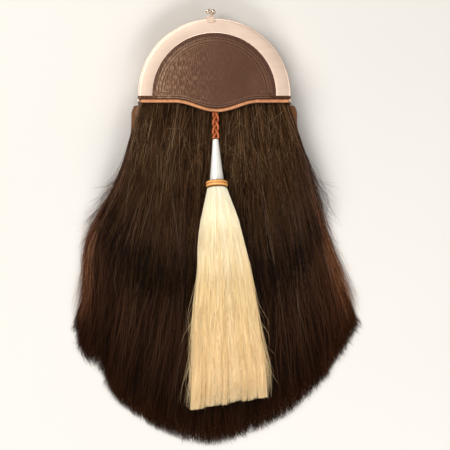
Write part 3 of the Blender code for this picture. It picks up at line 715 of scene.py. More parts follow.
def claspHalf(name, node, side, ballSide, finish):
    half = clasp["width"] / 2
    plateLow = ring["halfDepth"] + seam
    plateHigh = plateLow + ring["sheet"]
    rimY = ring["radius"] + seam
    postLow = ring["halfDepth"] / 2

    def place(x, y, h):
        return Vector((clasp["x"] + x, y, ring["parting"] + side * h))

    turns = [math.pi + math.pi * i / 24 for i in range(25)]
    outline = [(half * math.cos(a), ring["radius"] - clasp["foot"] + half * 0.5 * math.sin(a)) for a in turns]
    outline += [(half, rimY + ring["sheet"]), (-half, rimY + ring["sheet"])]
    plate = prism(outline, plateLow, plateHigh, place, clasp["softEdge"])
    post = [(-half, rimY), (half, rimY), (half, rimY + ring["sheet"]), (-half, rimY + ring["sheet"])]
    block = prism(softened(post, clasp["softEdge"], 3), postLow, plateHigh - ring["sheet"] / 2, place)
    apart = clasp["ball"] + seam
    foot = place(0.0, rimY + ring["sheet"] / 2, postLow + clasp["stem"] * 1.3)
    head = place(ballSide * apart * 0.74, ring["radius"] + clasp["reach"], apart * 0.76)
    bend = Vector((foot.x, head.y - clasp["ball"], (foot.z + head.z) / 2))
    shares = [i / 16 for i in range(17)]
    path = [foot * (1 - t) ** 2 + bend * 2 * t * (1 - t) + head * t * t for t in shares]
    stalk = loft(tube(path, [clasp["stem"] * (0.9 + 0.4 * max(0.0, 1 - 3 * t) ** 2) for t in shares], 24))
    turns = [math.pi * i / 22 for i in range(1, 22)]
    poles = [(clasp["ball"] * -math.cos(a), clasp["ball"] * math.sin(a)) for a in turns]
    ball = turned(poles, head, (head - foot).normalized(), 32)
    verts, faces = joined(plate, block, stalk, ball)
    made = piece(name, verts, faces, finish, [node])
    satinCount = len(plate[0]) + len(block[0])
    addLayer(made, "satin", [1.0] * satinCount + [0.0] * (len(verts) - satinCount))


# Pouch, and its sections in shares of its drop, of its half width and of its depth.
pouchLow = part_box("pouch_body")[0]
loopLow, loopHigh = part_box("belt_loop")
pouch = {
    "back": loopHigh[2] + seam,
    "depth": 20.2 * mm,
    "drop": -pouchLow[1],
    "halfWidth": ring["radius"] + 6.0 * mm,
    "corner": 7.0 * mm,
    "neck": leather["radius"] - ring["sheet"] - rivet["head"] - 2 * seam,
    "sagFrom": loopLow[1] - seam,
    "sagRun": 42.0 * mm,
    "foldDepth": 2.4 * mm,
    "foldStart": 18.0 * mm,
    "foldEnd": 40.0 * mm,
    "wrinkle": 0.35 * mm,
    "steps": 46,
}
pouch["front"] = pouch["back"] + pouch["depth"]
pouchSections = [
    {"drop": 0.094, "width": 0.985, "front": 1.00},
    {"drop": 0.115, "width": 1.000, "front": 1.00},
    {"drop": 0.21, "width": 1.012, "front": 1.00},
    {"drop": 0.34, "width": 1.020, "front": 1.04},
    {"drop": 0.52, "width": 1.015, "front": 1.03},
    {"drop": 0.72, "width": 0.960, "front": 0.92},
    {"drop": 0.87, "width": 0.820, "front": 0.70},
    {"drop": 0.96, "width": 0.620, "front": 0.46},
    {"drop": 1.00, "width": 0.420, "front": 0.26},
]


def pouchStation(y):
    keys = -pouch["drop"] * column(pouchSections, "drop")[::-1]
    width = pouch["halfWidth"] * through(keys, column(pouchSections, "width")[::-1], y)
    front = pouch["back"] + pouch["depth"] * through(keys, column(pouchSections, "front")[::-1], y)
    back = pouch["back"] * (1 - smoothstep((pouch["sagFrom"] - y) / pouch["sagRun"]))
    return width, back, front, min(pouch["corner"], (front - back) * 0.42)


def pouchRing(y, width, back, front, corner, fold):
    ringPoints = []
    edges = ((1, 1, 0), (-1, 1, 90), (-1, -1, 180), (1, -1, 270))
    for cx, cz, turn in edges:
        x = cx * (width - corner)
        z = front - corner if cz > 0 else back + corner
        for step in range(0, 91, 15):
            angle = math.radians(turn + step)
            ringPoints.append(Vector((x + corner * math.cos(angle), y, z + corner * math.sin(angle))))
        for i in range(1, 10):
            share = i / 10
            if cx * cz > 0:
                ringPoints.append(Vector((x * (1 - 2 * share), y, front if cz > 0 else back)))
            else:
                side = front - corner - (front - back - 2 * corner) * (share if cx < 0 else 1 - share)
                inward = fold * math.sin(math.pi * share) ** 2
                ringPoints.append(Vector((cx * (width - inward), y, side)))
    return ringPoints


def leatherPouch(finish):
    wall = leather["wall"]
    lugBottom = -ring["lugDrop"] - ring["lugRadius"]
    top = ring["shelf"] + seam
    outer = [pouchRing(top, pouch["neck"], pouch["back"], pouch["front"], wall / 2, 0.0)]
    outer.append(pouchRing(lugBottom - seam, pouch["neck"], pouch["back"], pouch["front"], wall / 2, 0.0))
    firstY = -pouch["drop"] * pouchSections[0]["drop"]
    ease = [(0.12, 0.62), (0.4, 0.88), (0.7, 0.96)]
    firstWidth = pouchStation(firstY)[0]
    for along, share in ease:
        y = lugBottom - seam + (firstY - lugBottom + seam) * along
        width = pouch["neck"] + (firstWidth - pouch["neck"]) * share
        outer.append(pouchRing(y, width, pouch["back"], pouch["front"], wall * (0.5 + along), 0.0))
    ys = [firstY + (-pouch["drop"] - firstY) * i / pouch["steps"] for i in range(pouch["steps"] + 1)]
    inner = []
    for y in ys:
        width, back, front, corner = pouchStation(y)
        fold = pouch["foldDepth"] * smoothstep((firstY - y) / pouch["foldStart"])
        fold *= smoothstep((pouch["drop"] + y) / pouch["foldEnd"])
        outer.append(pouchRing(y, width, back, front, corner, fold))
        if y > -pouch["drop"] * 0.97:
            room = max(corner - wall, wall / 4)
            lower = y + wall if y < firstY - wall else firstY
            inner.append(pouchRing(lower, width - 1.2 * wall, back + wall, front - wall, room, fold))
    for section in outer[2:-1]:
        for point in section:
            bump = noise.noise(point * 70) + 0.5 * noise.noise(point * 170)
            side = 1 if point.z > (pouch["front"] + pouch["back"]) / 2 else -1
            below = smoothstep((firstY + 3 * mm - point.y) / (12 * mm))
            point.z -= side * pouch["wrinkle"] * abs(bump) * below
    low = pouch["back"] + wall
    high = pouch["front"] - wall
    inner = [section for section in inner if section[0].y < lugBottom - wall]
    neck = [pouchRing(y, pouch["neck"] - wall, low, high, wall / 4, 0.0) for y in (top, lugBottom - wall)]
    rings = list(reversed(outer)) + neck + inner
    bag = loft(rings)
    arc = []
    first = math.asin((top + seam) / leather["radius"])
    for i in range(81):
        angle = first + (math.pi - 2 * first) * i / 80
        arc.append((leather["radius"] * math.cos(angle), leather["radius"] * math.sin(angle)))
    arc += [(-arc[0][0], top), (arc[0][0], top)]
    flaps = []

    def place(x, y, z):
        return Vector((x, y, z))

    for base in (pouch["back"], pouch["front"] - wall):
        flaps.append(prism(arc, base, base + wall, place, 0.35 * mm))
    verts, faces = joined(bag, *flaps)
    piece("leatherPouch", verts, faces, finish, ["pouch_body"], 50)


tunnel = {"tab": 6.0 * mm, "softEdge": 0.8 * mm}


def beltTunnel(finish):
    top = loopHigh[2]
    wall = leather["wall"]
    tab = loopHigh[1]
    outer = tab - tunnel["tab"]
    inner = outer - wall
    half = [(outer, 0.0), (outer, top - wall), (tab, top - wall), (tab, top), (inner, top), (inner, wall)]
    outline = softened(half + [(-y, z) for y, z in reversed(half)], tunnel["softEdge"], 4)

    def place(y, z, x):
        return Vector((x, y, z))

    verts, faces = prism(outline, loopLow[0], loopHigh[0], place)
    piece("beltTunnel", verts, faces, finish, ["belt_loop"])


# Lunette and apron, and the piping along the apron's curved edge.
panel = {
    "z": pouch["front"] + seam,
    "dome": 2.4 * mm,
    "apronDrop": 6.4 * mm,
    "ogeeDrop": 9.3 * mm,
    "ogeeHalfWidth": 42.0 * mm,
    "ogeeX": 2.7 * mm,
    "rim": ring["radius"] - ring["band"] - ring["sheet"],
    "turns": 150,
    "archLines": (4.2 * mm, 7.4 * mm),
    "edgeLine": 2.6 * mm,
    "levelLine": 2.2 * mm,
    "levelEnds": (6 * mm, 15 * mm),
    "lineWidth": 0.6 * mm,
    "lineDepth": 0.5 * mm,
    # how far the lunette's painted light from the left runs across it
    "paintedLightRun": 150 * mm,
}
pipeLow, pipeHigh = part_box("piping")
piping = {
    "radius": 1.9 * mm,
    "x": (pipeLow[0] + pipeHigh[0]) / 2,
    "z": (pipeLow[2] + pipeHigh[2]) / 2,
    "halfWidth": (pipeHigh[0] - pipeLow[0]) / 2,
    "sides": 20,
    "steps": 240,
    "wobble": 0.12 * mm,
}


def ogee(x):
    offset = abs(x - panel["ogeeX"])
    if offset >= panel["ogeeHalfWidth"]:
        return -panel["apronDrop"]
    swell = 0.5 + 0.5 * math.cos(math.pi * offset / panel["ogeeHalfWidth"])
    return -panel["apronDrop"] - panel["ogeeDrop"] * swell


# The apron's lower edge, just above the piping.
def edgeTop(x):
    return ogee(x) + piping["radius"] + seam


# From this line down the apron's surface passes over to the height of the piping.
def liftStart(x):
    return -ring["foot"] - 2 * seam + ring["band"] * smoothstep((panel["rim"] - abs(x)) / ring["band"])


# How deep a tooled line runs, and how high its raised edge, at a distance from the nearest line.
def toolMark(x, y):
    marks = [1.0]
    if y > 1.5 * mm:
        radius = math.hypot(x, y)
        marks += [abs(radius - (panel["rim"] - gap)) for gap in panel["archLines"]]
    if abs(x) < panel["rim"] - 3 * mm:
        marks.append(abs(y - ogee(x) - piping["radius"] - seam - panel["edgeLine"]))
    near, far = panel["levelEnds"]
    if y > 0 and panel["rim"] - far < abs(x) < panel["rim"] - near:
        marks.append(abs(y - panel["levelLine"]))
    width = panel["lineWidth"]
    ridge = 1 - smoothstep(abs(min(marks) - 1.5 * width) / (0.8 * width))
    return 1 - smoothstep(min(marks) / width), ridge


def panelTop(x, y):
    bottom = edgeTop(x)
    dome = panel["dome"] * max(0.0, 1 - (x * x + max(y, 0.0) ** 2) / panel["rim"] ** 2)
    start = liftStart(x)
    lift = smoothstep((start - y) / (start - bottom))
    edge = piping["z"] - panel["z"] - leather["wall"]
    return panel["z"] + leather["wall"] + dome * (1 - lift) + edge * lift


# Steps from low to high, close together round the given places.
def closeSteps(low, high, places, fine, coarse):
    steps = [low]
    while steps[-1] < high - fine / 2:
        near = min([abs(steps[-1] - p) for p in places])
        reached = steps[-1] + fine + (coarse - fine) * smoothstep((near - 1.6 * mm) / (3 * mm))
        steps.append(min(reached, high))
    return steps


# Closed sheet from an open surface and its lower points.
def thickened(verts, lower, faces):
    edges = {(a, b) for face in faces for a, b in zip(face, face[1:] + face[:1])}
    count = len(verts)
    sides = [(b, a, count + a, count + b) for a, b in sorted(edges) if (b, a) not in edges]
    under = [tuple(count + v for v in reversed(face)) for face in faces]
    return verts + lower, faces + under + sides


def lunettePanel(finish):
    radius = leather["radius"]
    lines = [panel["rim"] - gap for gap in panel["archLines"]] + [panel["rim"]]
    reaches = closeSteps(2 * mm, radius, lines, 0.3 * mm, 2.2 * mm)
    turns = panel["turns"]
    verts = [(0.0, 0.0)]
    faces = []
    angles = [math.pi * i / turns for i in range(turns + 1)]
    for reach in reaches:
        verts += [(-reach * math.cos(a), reach * math.sin(a)) for a in angles]
    for k in range(len(reaches) - 1):
        for i in range(turns):
            a = 1 + k * (turns + 1) + i
            faces.append((a, a + 1, a + turns + 2, a + turns + 1))
    faces += [(0, 2 + i, 1 + i) for i in range(turns)]
    # below the arch: columns from the level line down to the curved edge, met by the rings' ends
    heads = [1 + k * (turns + 1) for k in reversed(range(len(reaches)))] + [0]
    heads += [1 + k * (turns + 1) + turns for k in range(len(reaches))]
    shoulder = -ring["foot"] - 1.5 * seam
    corner = shoulder - edgeTop(radius)
    depths = closeSteps(0.0, corner, [panel["edgeLine"]], 0.3 * mm, 0.8 * mm)
    depths[-1] = corner
    grid = []
    for head in heads:
        x = verts[head][0]
        bottom = edgeTop(x)
        rows = [bottom + d for d in depths] + [(bottom + corner) * (1 - i / 9) for i in range(1, 9)]
        grid.append(list(range(len(verts), len(verts) + len(rows))) + [head])
        verts += [(x, y) for y in rows]
    for one, other in zip(grid, grid[1:]):
        faces += [(one[j], other[j], other[j + 1], one[j + 1]) for j in range(len(one) - 1)]
    for hand, one in ((-1, grid[0]), (1, grid[-1])):
        for x in (radius + seam, ring["radius"]):
            bottom = edgeTop(hand * x)
            other = list(range(len(verts), len(verts) + len(depths)))
            verts += [(hand * x, bottom + d) for d in depths]
            for j in range(len(depths) - 1):
                quad = (one[j], other[j], other[j + 1], one[j + 1])
                faces.append(quad if hand > 0 else tuple(reversed(quad)))
            one = other
    layers = {"tool": [], "ridge": [], "welt": []}
    top = []
    for x, y in verts:
        mark, ridge = toolMark(x, y)
        inside = smoothstep((panel["rim"] - math.hypot(x, max(y, 0.0))) / (2 * mm))
        relief = 0.14 * mm * noise.noise(Vector((x * 260, y * 60, 3.0))) * inside
        cut = panel["lineDepth"] * (mark - 0.4 * ridge) * inside
        top.append(Vector((x, y, panelTop(x, y) + relief - cut)))
        layers["tool"].append(mark * inside)
        layers["ridge"].append(ridge * inside)
        # painted shade in the crease above the piping
        layers["welt"].append(1 - smoothstep((y - ogee(x) - piping["radius"] - seam) / (1.2 * mm)))
    below = [Vector((x, y, panelTop(x, y) - leather["wall"])) for x, y in verts]
    points, faces = thickened(top, below, faces)
    made = piece("lunettePanel", points, faces, finish, ["front_panel"], 60)
    for name, values in layers.items():
        addLayer(made, name, values + [0.0] * len(values))


def pipedEdge(finish):
    rings = []
    for i in range(piping["steps"] + 1):
        x = piping["x"] + piping["halfWidth"] * (2 * i / piping["steps"] - 1)
        slope = (ogee(x + seam) - ogee(x - seam)) / (2 * seam)
        along = Vector((1, slope, 0)).normalized()
        side = Vector((-along.y, along.x, 0))
        ends = min(1.0, 0.35 + min(i, piping["steps"] - i) / 5)
        wobble = piping["wobble"] * abs(noise.noise(Vector((x * 300, 0, 0))))
        radius = (piping["radius"] - wobble) * ends ** 0.5
        section = []
        for j in range(piping["sides"]):
            angle = 2 * math.pi * j / piping["sides"]
            spot = Vector((x, ogee(x), piping["z"])) + side * (radius * math.cos(angle))
            section.append(spot + Vector((0, 0, radius * math.sin(angle))))
        rings.append(section)
    verts, faces = loft(rings)
    made = piece("pipedEdge", verts, faces, finish, ["piping"])
    # The "edge" layer marks where painted shade falls: the piping's upper and lower sides.
    addLayer(made, "edge", sideShares(piping["sides"]) * len(rings))


# A tree with one geometry input, the named inputs and one geometry output.
def newTree(name, source, inputs, result):
    tree = bpy.data.node_groups.new(name, "GeometryNodeTree")
    tree.interface.new_socket(source, in_out="INPUT", socket_type="NodeSocketGeometry")
    for label, (kind, value) in inputs.items():
        socket = tree.interface.new_socket(label, in_out="INPUT", socket_type=kind)
        if value is not None:
            socket.default_value = value
    tree.interface.new_socket(result, in_out="OUTPUT", socket_type="NodeSocketGeometry")
    graph = Graph(tree)
    start = graph.node("NodeGroupInput")
    return graph, {label: graph.output(start, label) for label in [source, *inputs]}


# The end of such a tree: its lines become solid threads with their finish.
def endInThreads(graph, lines, radius, sides, finish):
    sockets = {"Resolution": sides, "Radius": 1.0}
    profile = graph.node("GeometryNodeCurvePrimitiveCircle", {"mode": "RADIUS"}, sockets)
    sockets = {"Curve": lines, "Profile Curve": profile, "Scale": radius, "Fill Caps": True}
    threads = graph.node("GeometryNodeCurveToMesh", None, sockets)
    threads = graph.node("GeometryNodeRealizeInstances", None, {"Geometry": threads})
    threads = graph.node("GeometryNodeSetMaterial", None, {"Geometry": threads, "Material": finish})
    end = graph.tree.nodes.new("NodeGroupOutput")
    graph.tree.links.new(threads.socket, end.inputs[0])
    return graph.tree


# A tree's result on a copy of its source, as a plain mesh.
def grown(name, source, tree, values):
    made = bpy.data.objects.new(name, source.data.copy())
    bpy.context.scene.collection.objects.link(made)
    step = made.modifiers.new("grown", "NODES")
    step.node_group = tree
    for item in tree.interface.items_tree:
        if item.in_out == "INPUT" and item.name in values:
            step[item.identifier] = values[item.name]
    bpy.context.view_layer.update()
    evaluated = made.evaluated_get(bpy.context.evaluated_depsgraph_get())
    mesh = bpy.data.meshes.new_from_object(evaluated)
    made.modifiers.clear()
    made.data = mesh
    mesh.name = name
    mesh.shade_smooth()
    return made


# Stitches: each is one short edge of a path mesh, grown to a bowed, tapered thread.
stitchInputs = {
    "Thickness": ("NodeSocketFloat", 0.6 * mm),
    "Bow": ("NodeSocketVector", (0.0, 0.0, 0.4 * mm)),
    "Finish": ("NodeSocketMaterial", None),
}
seams = {
    "pitch": 2.5 * mm,
    "whipThickness": 0.85 * mm,
    "whipBow": (0.0, -0.2 * mm, 0.2 * mm),
    "thickness": 0.55 * mm,
    "run": 2.6 * mm,
    "runPitch": 3.9 * mm,
    "flat": (0.0, 0.0, 0.0),
    "start": 16.0 * mm,
    "end": 0.88,
    "least": 0.35 * mm,
    "tunnelInset": 3.0 * mm,
}


def stitchTree():
    graph, given = newTree("threadStitches", "Seam", stitchInputs, "Stitches")
    line = graph.node("GeometryNodeMeshToCurve", None, {"Mesh": given["Seam"]})
    line = graph.node("GeometryNodeResampleCurve", None, {"Curve": line, "Count": 5})
    along = graph.node("GeometryNodeSplineParameter")
    arch = along * (1 - along) * 4
    lift = graph.node("ShaderNodeVectorMath", {"operation": "SCALE"}, {0: given["Bow"], "Scale": arch})
    line = graph.node("GeometryNodeSetPosition", None, {"Geometry": line, "Offset": lift})
    radius = given["Thickness"] * (0.25 + 0.25 * arch)
    return endInThreads(graph, line, radius, 6, given["Finish"])


def stitched(name, pairs, tree, style):
    mesh = bpy.data.meshes.new(name + "Path")
    points = [p for pair in pairs for p in pair]
    mesh.from_pydata([tuple(p) for p in points], [(i, i + 1) for i in range(0, len(points), 2)], [])
    path = bpy.data.objects.new(name + "Path", mesh)
    bpy.context.scene.collection.objects.link(path)
    made = grown(name, path, tree, style)
    bpy.data.objects.remove(path)
    finishPiece(made, style["Finish"])


def whipStitches(tree, finish):
    pairs = []
    count = int(2 * piping["halfWidth"] / seams["pitch"])
    for i in range(1, count):
        x = piping["x"] - piping["halfWidth"] + seams["pitch"] * i
        low = ogee(x) - piping["radius"] * 0.92
        start = Vector((x, low - 0.4 * mm, piping["z"] - 0.4 * mm))
        end = Vector((x + 0.5 * mm, ogee(x) - piping["radius"] * 0.66, piping["z"] + piping["radius"] * 0.74))
        pairs.append((start, end))
    style = {"Thickness": seams["whipThickness"], "Bow": seams["whipBow"], "Finish": finish}
    stitched("pipingStitches", pairs, tree, style)


def pouchStitches(tree, finish):
    style = {"Thickness": seams["thickness"], "Bow": seams["flat"], "Finish": finish}
    pairs = []
    y = -seams["start"]
    while y > -pouch["drop"] * seams["end"]:
        width, back, front, corner = pouchStation(y)
        for hand in (-1, 1):
            for z in (front + 0.02 * mm, max(back - 0.02 * mm, seams["least"])):
                x = hand * (width - corner)
                pairs.append((Vector((x, y, z)), Vector((x, y - seams["run"], z))))
        y -= seams["runPitch"]
    stitched("pouchStitches", pairs, tree, style)
    pairs = []
    x = loopLow[0] + 2.5 * mm
    while x < loopHigh[0] - 4.0 * mm:
        for y in (loopLow[1] + seams["tunnelInset"], loopHigh[1] - seams["tunnelInset"]):
            z = loopHigh[2] - leather["wall"] - 0.05 * mm
            pairs.append((Vector((x, y, z)), Vector((x + seams["run"], y, z))))
        x += seams["runPitch"]
    stitched("tunnelStitches", pairs, tree, style)


# Hair, and the lines that it follows, in shares: place across, root of the root's half width,
# tip of the hair's half width and drop, and the sideways bow of the half width.
hair = {
    "halfWidth": 141.0 * mm,
    "drop": 346.0 * mm,
    "rootHalfWidth": ring["radius"] - 2.0 * mm,
    "bowPlace": 0.6,
    "bowSpread": 0.18,
    "columns": 141,
    "rows": 72,
    "reach": 1.02,
    "massReach": 0.94,
    "massDepth": 0.34,
    "spring": 0.4 * mm,
    "sway": 7.0 * mm,
}
hairLines = [
    {"across": -1.00, "root": -0.98, "tip": -0.975, "drop": 0.66, "bow": -0.100},
    {"across": -0.83, "root": -0.86, "tip": -0.900, "drop": 0.75, "bow": -0.070},
    {"across": -0.75, "root": -0.79, "tip": -0.765, "drop": 0.80, "bow": -0.050},
    {"across": -0.67, "root": -0.71, "tip": -0.728, "drop": 0.838, "bow": -0.030},
    {"across": -0.33, "root": -0.36, "tip": -0.459, "drop": 0.938, "bow": 0.010},
    {"across": 0.00, "root": 0.02, "tip": -0.045, "drop": 1.00, "bow": 0.020},
    {"across": 0.33, "root": 0.39, "tip": 0.398, "drop": 0.945, "bow": 0.020},
    {"across": 0.67, "root": 0.73, "tip": 0.769, "drop": 0.815, "bow": 0.010},
    {"across": 0.83, "root": 0.87, "tip": 0.898, "drop": 0.745, "bow": -0.010},
    {"across": 1.00, "root": 0.99, "tip": 1.010, "drop": 0.66, "bow": -0.035},
]


def hairPlace(across, along):
    keys = column(hairLines, "across")
    row = {name: through(keys, column(hairLines, name), across) for name in ("root", "tip", "drop", "bow")}
    rootX = hair["rootHalfWidth"] * row["root"]
    root = Vector((rootX, ogee(rootX) + piping["radius"] - seam, 0))
    tip = Vector((hair["halfWidth"] * row["tip"], -hair["drop"] * row["drop"], 0))
    place = root.lerp(tip, along)
    fromBow = (along - hair["bowPlace"]) / hair["bowSpread"]
    place.x += hair["halfWidth"] * row["bow"] * math.exp(-(fromBow ** 2))
    sway = smoothstep(along / 0.3) * hair["sway"] * (1 - 0.7 * abs(across) ** 4)
    place.x += sway * noise.noise(Vector((across * 3.1, along * 2.6, 7.7)))
    place.x += 0.4 * sway * noise.noise(Vector((across * 9.0, along * 6.0, 1.3)))
    return place


# A grid of heights, each row or column evened out with its neighbours so many times.
def evened(grid, times, axis):
    for _ in range(times):
        padded = np.concatenate([grid.take([0], axis), grid, grid.take([-1], axis)], axis)
        count = grid.shape[axis]
        low = padded.take(range(count), axis)
        high = padded.take(range(2, count + 2), axis)
        grid = (low + 2 * grid + high) / 4
    return grid


def hitHeight(tree, x, y, down):
    start = Vector((x, y, 1.0 if down else -1.0))
    hit = tree.ray_cast(start, Vector((0, 0, -1 if down else 1)))[0]
    if hit is None:
        hit = tree.find_nearest(Vector((x, y, 2 * mm)))[0]
    return hit.z


# Places, upper and lower heights of the hair over a grid that runs a little past its outline.
def hairGrid(tree):
    across = np.linspace(-1.0, 1.0, hair["columns"])
    along = np.linspace(0.0, hair["reach"], hair["rows"]) ** 1.08
    flat = np.array([[hairPlace(a, b)[:2] for b in along] for a in across])
    top = np.array([[hitHeight(tree, x, y, True) for x, y in col] for col in flat])
    low = np.array([[hitHeight(tree, x, y, False) for x, y in col] for col in flat])
    inner = slice(4, None)
    top[:, inner] = evened(evened(top, 7, 0), 14, 1)[:, inner]
    low[:, inner] = np.minimum(evened(low, 2, 0), low)[:, inner]
    room = np.maximum(top - low, 1.2 * mm)
    return flat, top, room


def gridFaces(wide, deep):
    faces = []
    for i in range(wide - 1):
        for a in range(i * deep, (i + 1) * deep - 1):
            faces.append((a + 1, a + deep + 1, a + deep, a))
    return faces


# The lay of the hair as a UV map: shares across and along, for each point of a sheet.
def addLay(mesh, across, along):
    lay = mesh.uv_layers.new(name="lay")
    index = np.zeros(len(mesh.loops), int)
    mesh.loops.foreach_get("vertex_index", index)
    uv = np.stack([across, along], 1)[index % len(across)]
    lay.data.foreach_set("uv", uv.reshape(-1).astype(np.float32))


def gridLay(wide, deep):
    index = np.arange(wide * deep)
    return (index // deep) / (wide - 1), (index % deep) / (deep - 1)


# The guide sheet that strands follow, with the room for them below it.
def guideSheet(name, points, room):
    wide, deep = points.shape[:2]
    mesh = bpy.data.meshes.new(name)
    mesh.from_pydata(points.reshape(-1, 3).tolist(), [], gridFaces(wide, deep))
    addLay(mesh, *gridLay(wide, deep))
    made = bpy.data.objects.new(name, mesh)
    addLayer(made, "room", room.reshape(-1))
    bpy.context.scene.collection.objects.link(made)
    return made


# Strands over a guide sheet: each follows the sheet's lay at its own depth, drawn a little into locks.
strandInputs = {
    "Count": ("NodeSocketInt", 100),
    "Seed": ("NodeSocketInt", 1),
    "Width": ("NodeSocketFloat", 0.5 * mm),
    "Points": ("NodeSocketInt", 8),
    "First Start": ("NodeSocketFloat", 0.0),
    "Last Start": ("NodeSocketFloat", 0.05),
    "First End": ("NodeSocketFloat", 0.8),
    "Last End": ("NodeSocketFloat", 1.0),
    "Edge Bias": ("NodeSocketFloat", 0.0),
    "Wander": ("NodeSocketFloat", 0.01),
    "Locks": ("NodeSocketFloat", 60.0),
    "Pull": ("NodeSocketFloat", 0.3),
    "Depth": ("NodeSocketFloat", 0.4),
    "Rise": ("NodeSocketFloat", 0.4 * mm),
    "Fly": ("NodeSocketFloat", 0.0),
    "Dive": ("NodeSocketFloat", 0.5),
    "Stray": ("NodeSocketFloat", 0.0),
    "Slant": ("NodeSocketFloat", 0.0),
    "Cross": ("NodeSocketFloat", 0.0),
    "Least Tint": ("NodeSocketFloat", 0.0),
    "Lock Tint": ("NodeSocketFloat", 0.25),
    "Lock Step": ("NodeSocketFloat", 0.018),
    "Fine Pale": ("NodeSocketFloat", 0.45),
    "Hair": ("NodeSocketMaterial", None),
}


def strandTree():
    graph, given = newTree("hairStrands", "Guide", strandInputs, "Strands")
    line = graph.node("GeometryNodeCurvePrimitiveLine")
    line = graph.node("GeometryNodeResampleCurve", None, {"Curve": line, "Count": given["Points"]})
    copies = graph.node("GeometryNodeDuplicateElements", {"domain": "SPLINE"}, {0: line, 2: given["Count"]})
    who = graph.output(copies, "Duplicate Index")
    along = graph.node("GeometryNodeSplineParameter")

    def pick(salt, low=0.0, high=1.0, owner=who):
        sockets = {2: low, 3: high, 7: owner, 8: given["Seed"] * 50 + salt}
        return graph.node("FunctionNodeRandomValue", {"data_type": "FLOAT"}, sockets, out=1)

    def drift(salt, pace):
        sockets = {0: who * 3.71 + salt, 1: along * pace, 2: given["Seed"] * 9.3}
        return graph.noise(graph.node("ShaderNodeCombineXYZ", None, sockets), 1.0, 1.0) - 0.5

    # place across, drawn to the nearest lock and wandering, more so towards the tip
    even = pick(1)
    bias = given["Edge Bias"]
    edge = 0.5 + (even - 0.5) * (1 - bias) + (even - 0.5).math("SIGN") * 0.5 * bias
    lockNumber = (edge * given["Locks"]).math("FLOOR")
    lockPlace = (lockNumber + 0.5 + pick(2, -0.35, 0.35, lockNumber)) / given["Locks"]
    pull = given["Pull"] * pick(3, 0.2, 1.0) * along ** 1.4
    across = edge + (lockPlace - edge) * pull + drift(4.0, 2.4) * given["Wander"] * (0.3 + along)
    across = across + (pick(12) - 0.5) * given["Cross"] * (along - 0.35)
    first = given["First Start"] + (given["Last Start"] - given["First Start"]) * pick(5)
    short = pick(6)
    last = given["Last End"] - (given["Last End"] - given["First End"]) * short * short
    last = last - pick(7, 0.0, given["Lock Step"], lockNumber) - given["Slant"] * across
    down = first + (last - first) * along
    held = [share.atLeast(0.003).atMost(0.997) for share in (across, down)]
    place = graph.node("ShaderNodeCombineXYZ", None, {0: held[0], 1: held[1]})
    lay = graph.node("GeometryNodeInputNamedAttribute", {"data_type": "FLOAT_VECTOR"}, {"Name": "lay"})

    def sample(kind, value):
        sockets = {"Mesh": given["Guide"], "Value": value, "UV Map": lay, "Sample UV": place}
        return graph.node("GeometryNodeSampleUVSurface", {"data_type": kind}, sockets)

    spot = sample("FLOAT_VECTOR", graph.node("GeometryNodeInputPosition"))
    normal = sample("FLOAT_VECTOR", graph.node("GeometryNodeInputNormal"))
    roomHere = graph.node("GeometryNodeInputNamedAttribute", {"data_type": "FLOAT"}, {"Name": "room"})
    room = sample("FLOAT", roomHere)

    # depth below the guide: deeper where a strand begins, freer towards its tip
    layer = pick(8)
    under = (1 - along.between(0.0, 0.14)) * given["Dive"] + layer * given["Depth"]
    height = given["Rise"] * (1 - layer) - under * room + given["Fly"] * (drift(11.0, 2.0) + 0.25) * along
    step = graph.node("ShaderNodeVectorMath", {"operation": "SCALE"}, {0: normal, "Scale": height})
    moved = graph.node("ShaderNodeVectorMath", {"operation": "ADD"}, {0: spot, 1: step})
    parts = graph.parts(moved)
    loose = given["Stray"] * along ** 1.5
    outward = (across - 0.5) * 2
    x = parts[0] + (drift(13.0, 1.6) * 2.4 + outward * outward * outward * 0.4) * loose
    y = parts[1] + (drift(17.0, 1.6) * 1.6 + 0.15) * loose
    moved = graph.node("ShaderNodeCombineXYZ", None, {0: x, 1: y, 2: parts[2].atLeast(0.6 * mm)})
    strands = graph.node("GeometryNodeSetPosition", None, {"Geometry": copies, "Position": moved})
    tint = pick(9, given["Least Tint"])
    tint = tint + (pick(14, owner=lockNumber) - tint) * given["Lock Tint"]
    kept = {"data_type": "FLOAT", "domain": "POINT"}
    for name, value in (("tint", tint), ("along", down)):
        sockets = {"Geometry": strands, "Name": name, "Value": value}
        strands = graph.node("GeometryNodeStoreNamedAttribute", kept, sockets)
    taper = (0.6 + along.between(0.0, 0.12) * 0.4) * (1 - along.between(0.72, 1.0) * 0.8)
    finer = 1 - tint.between(0.82, 1.0) * given["Fine Pale"]
    radius = given["Width"] * 0.5 * taper * pick(10, 0.7, 1.2) * finer
    return endInThreads(graph, strands, radius, 3, given["Hair"])


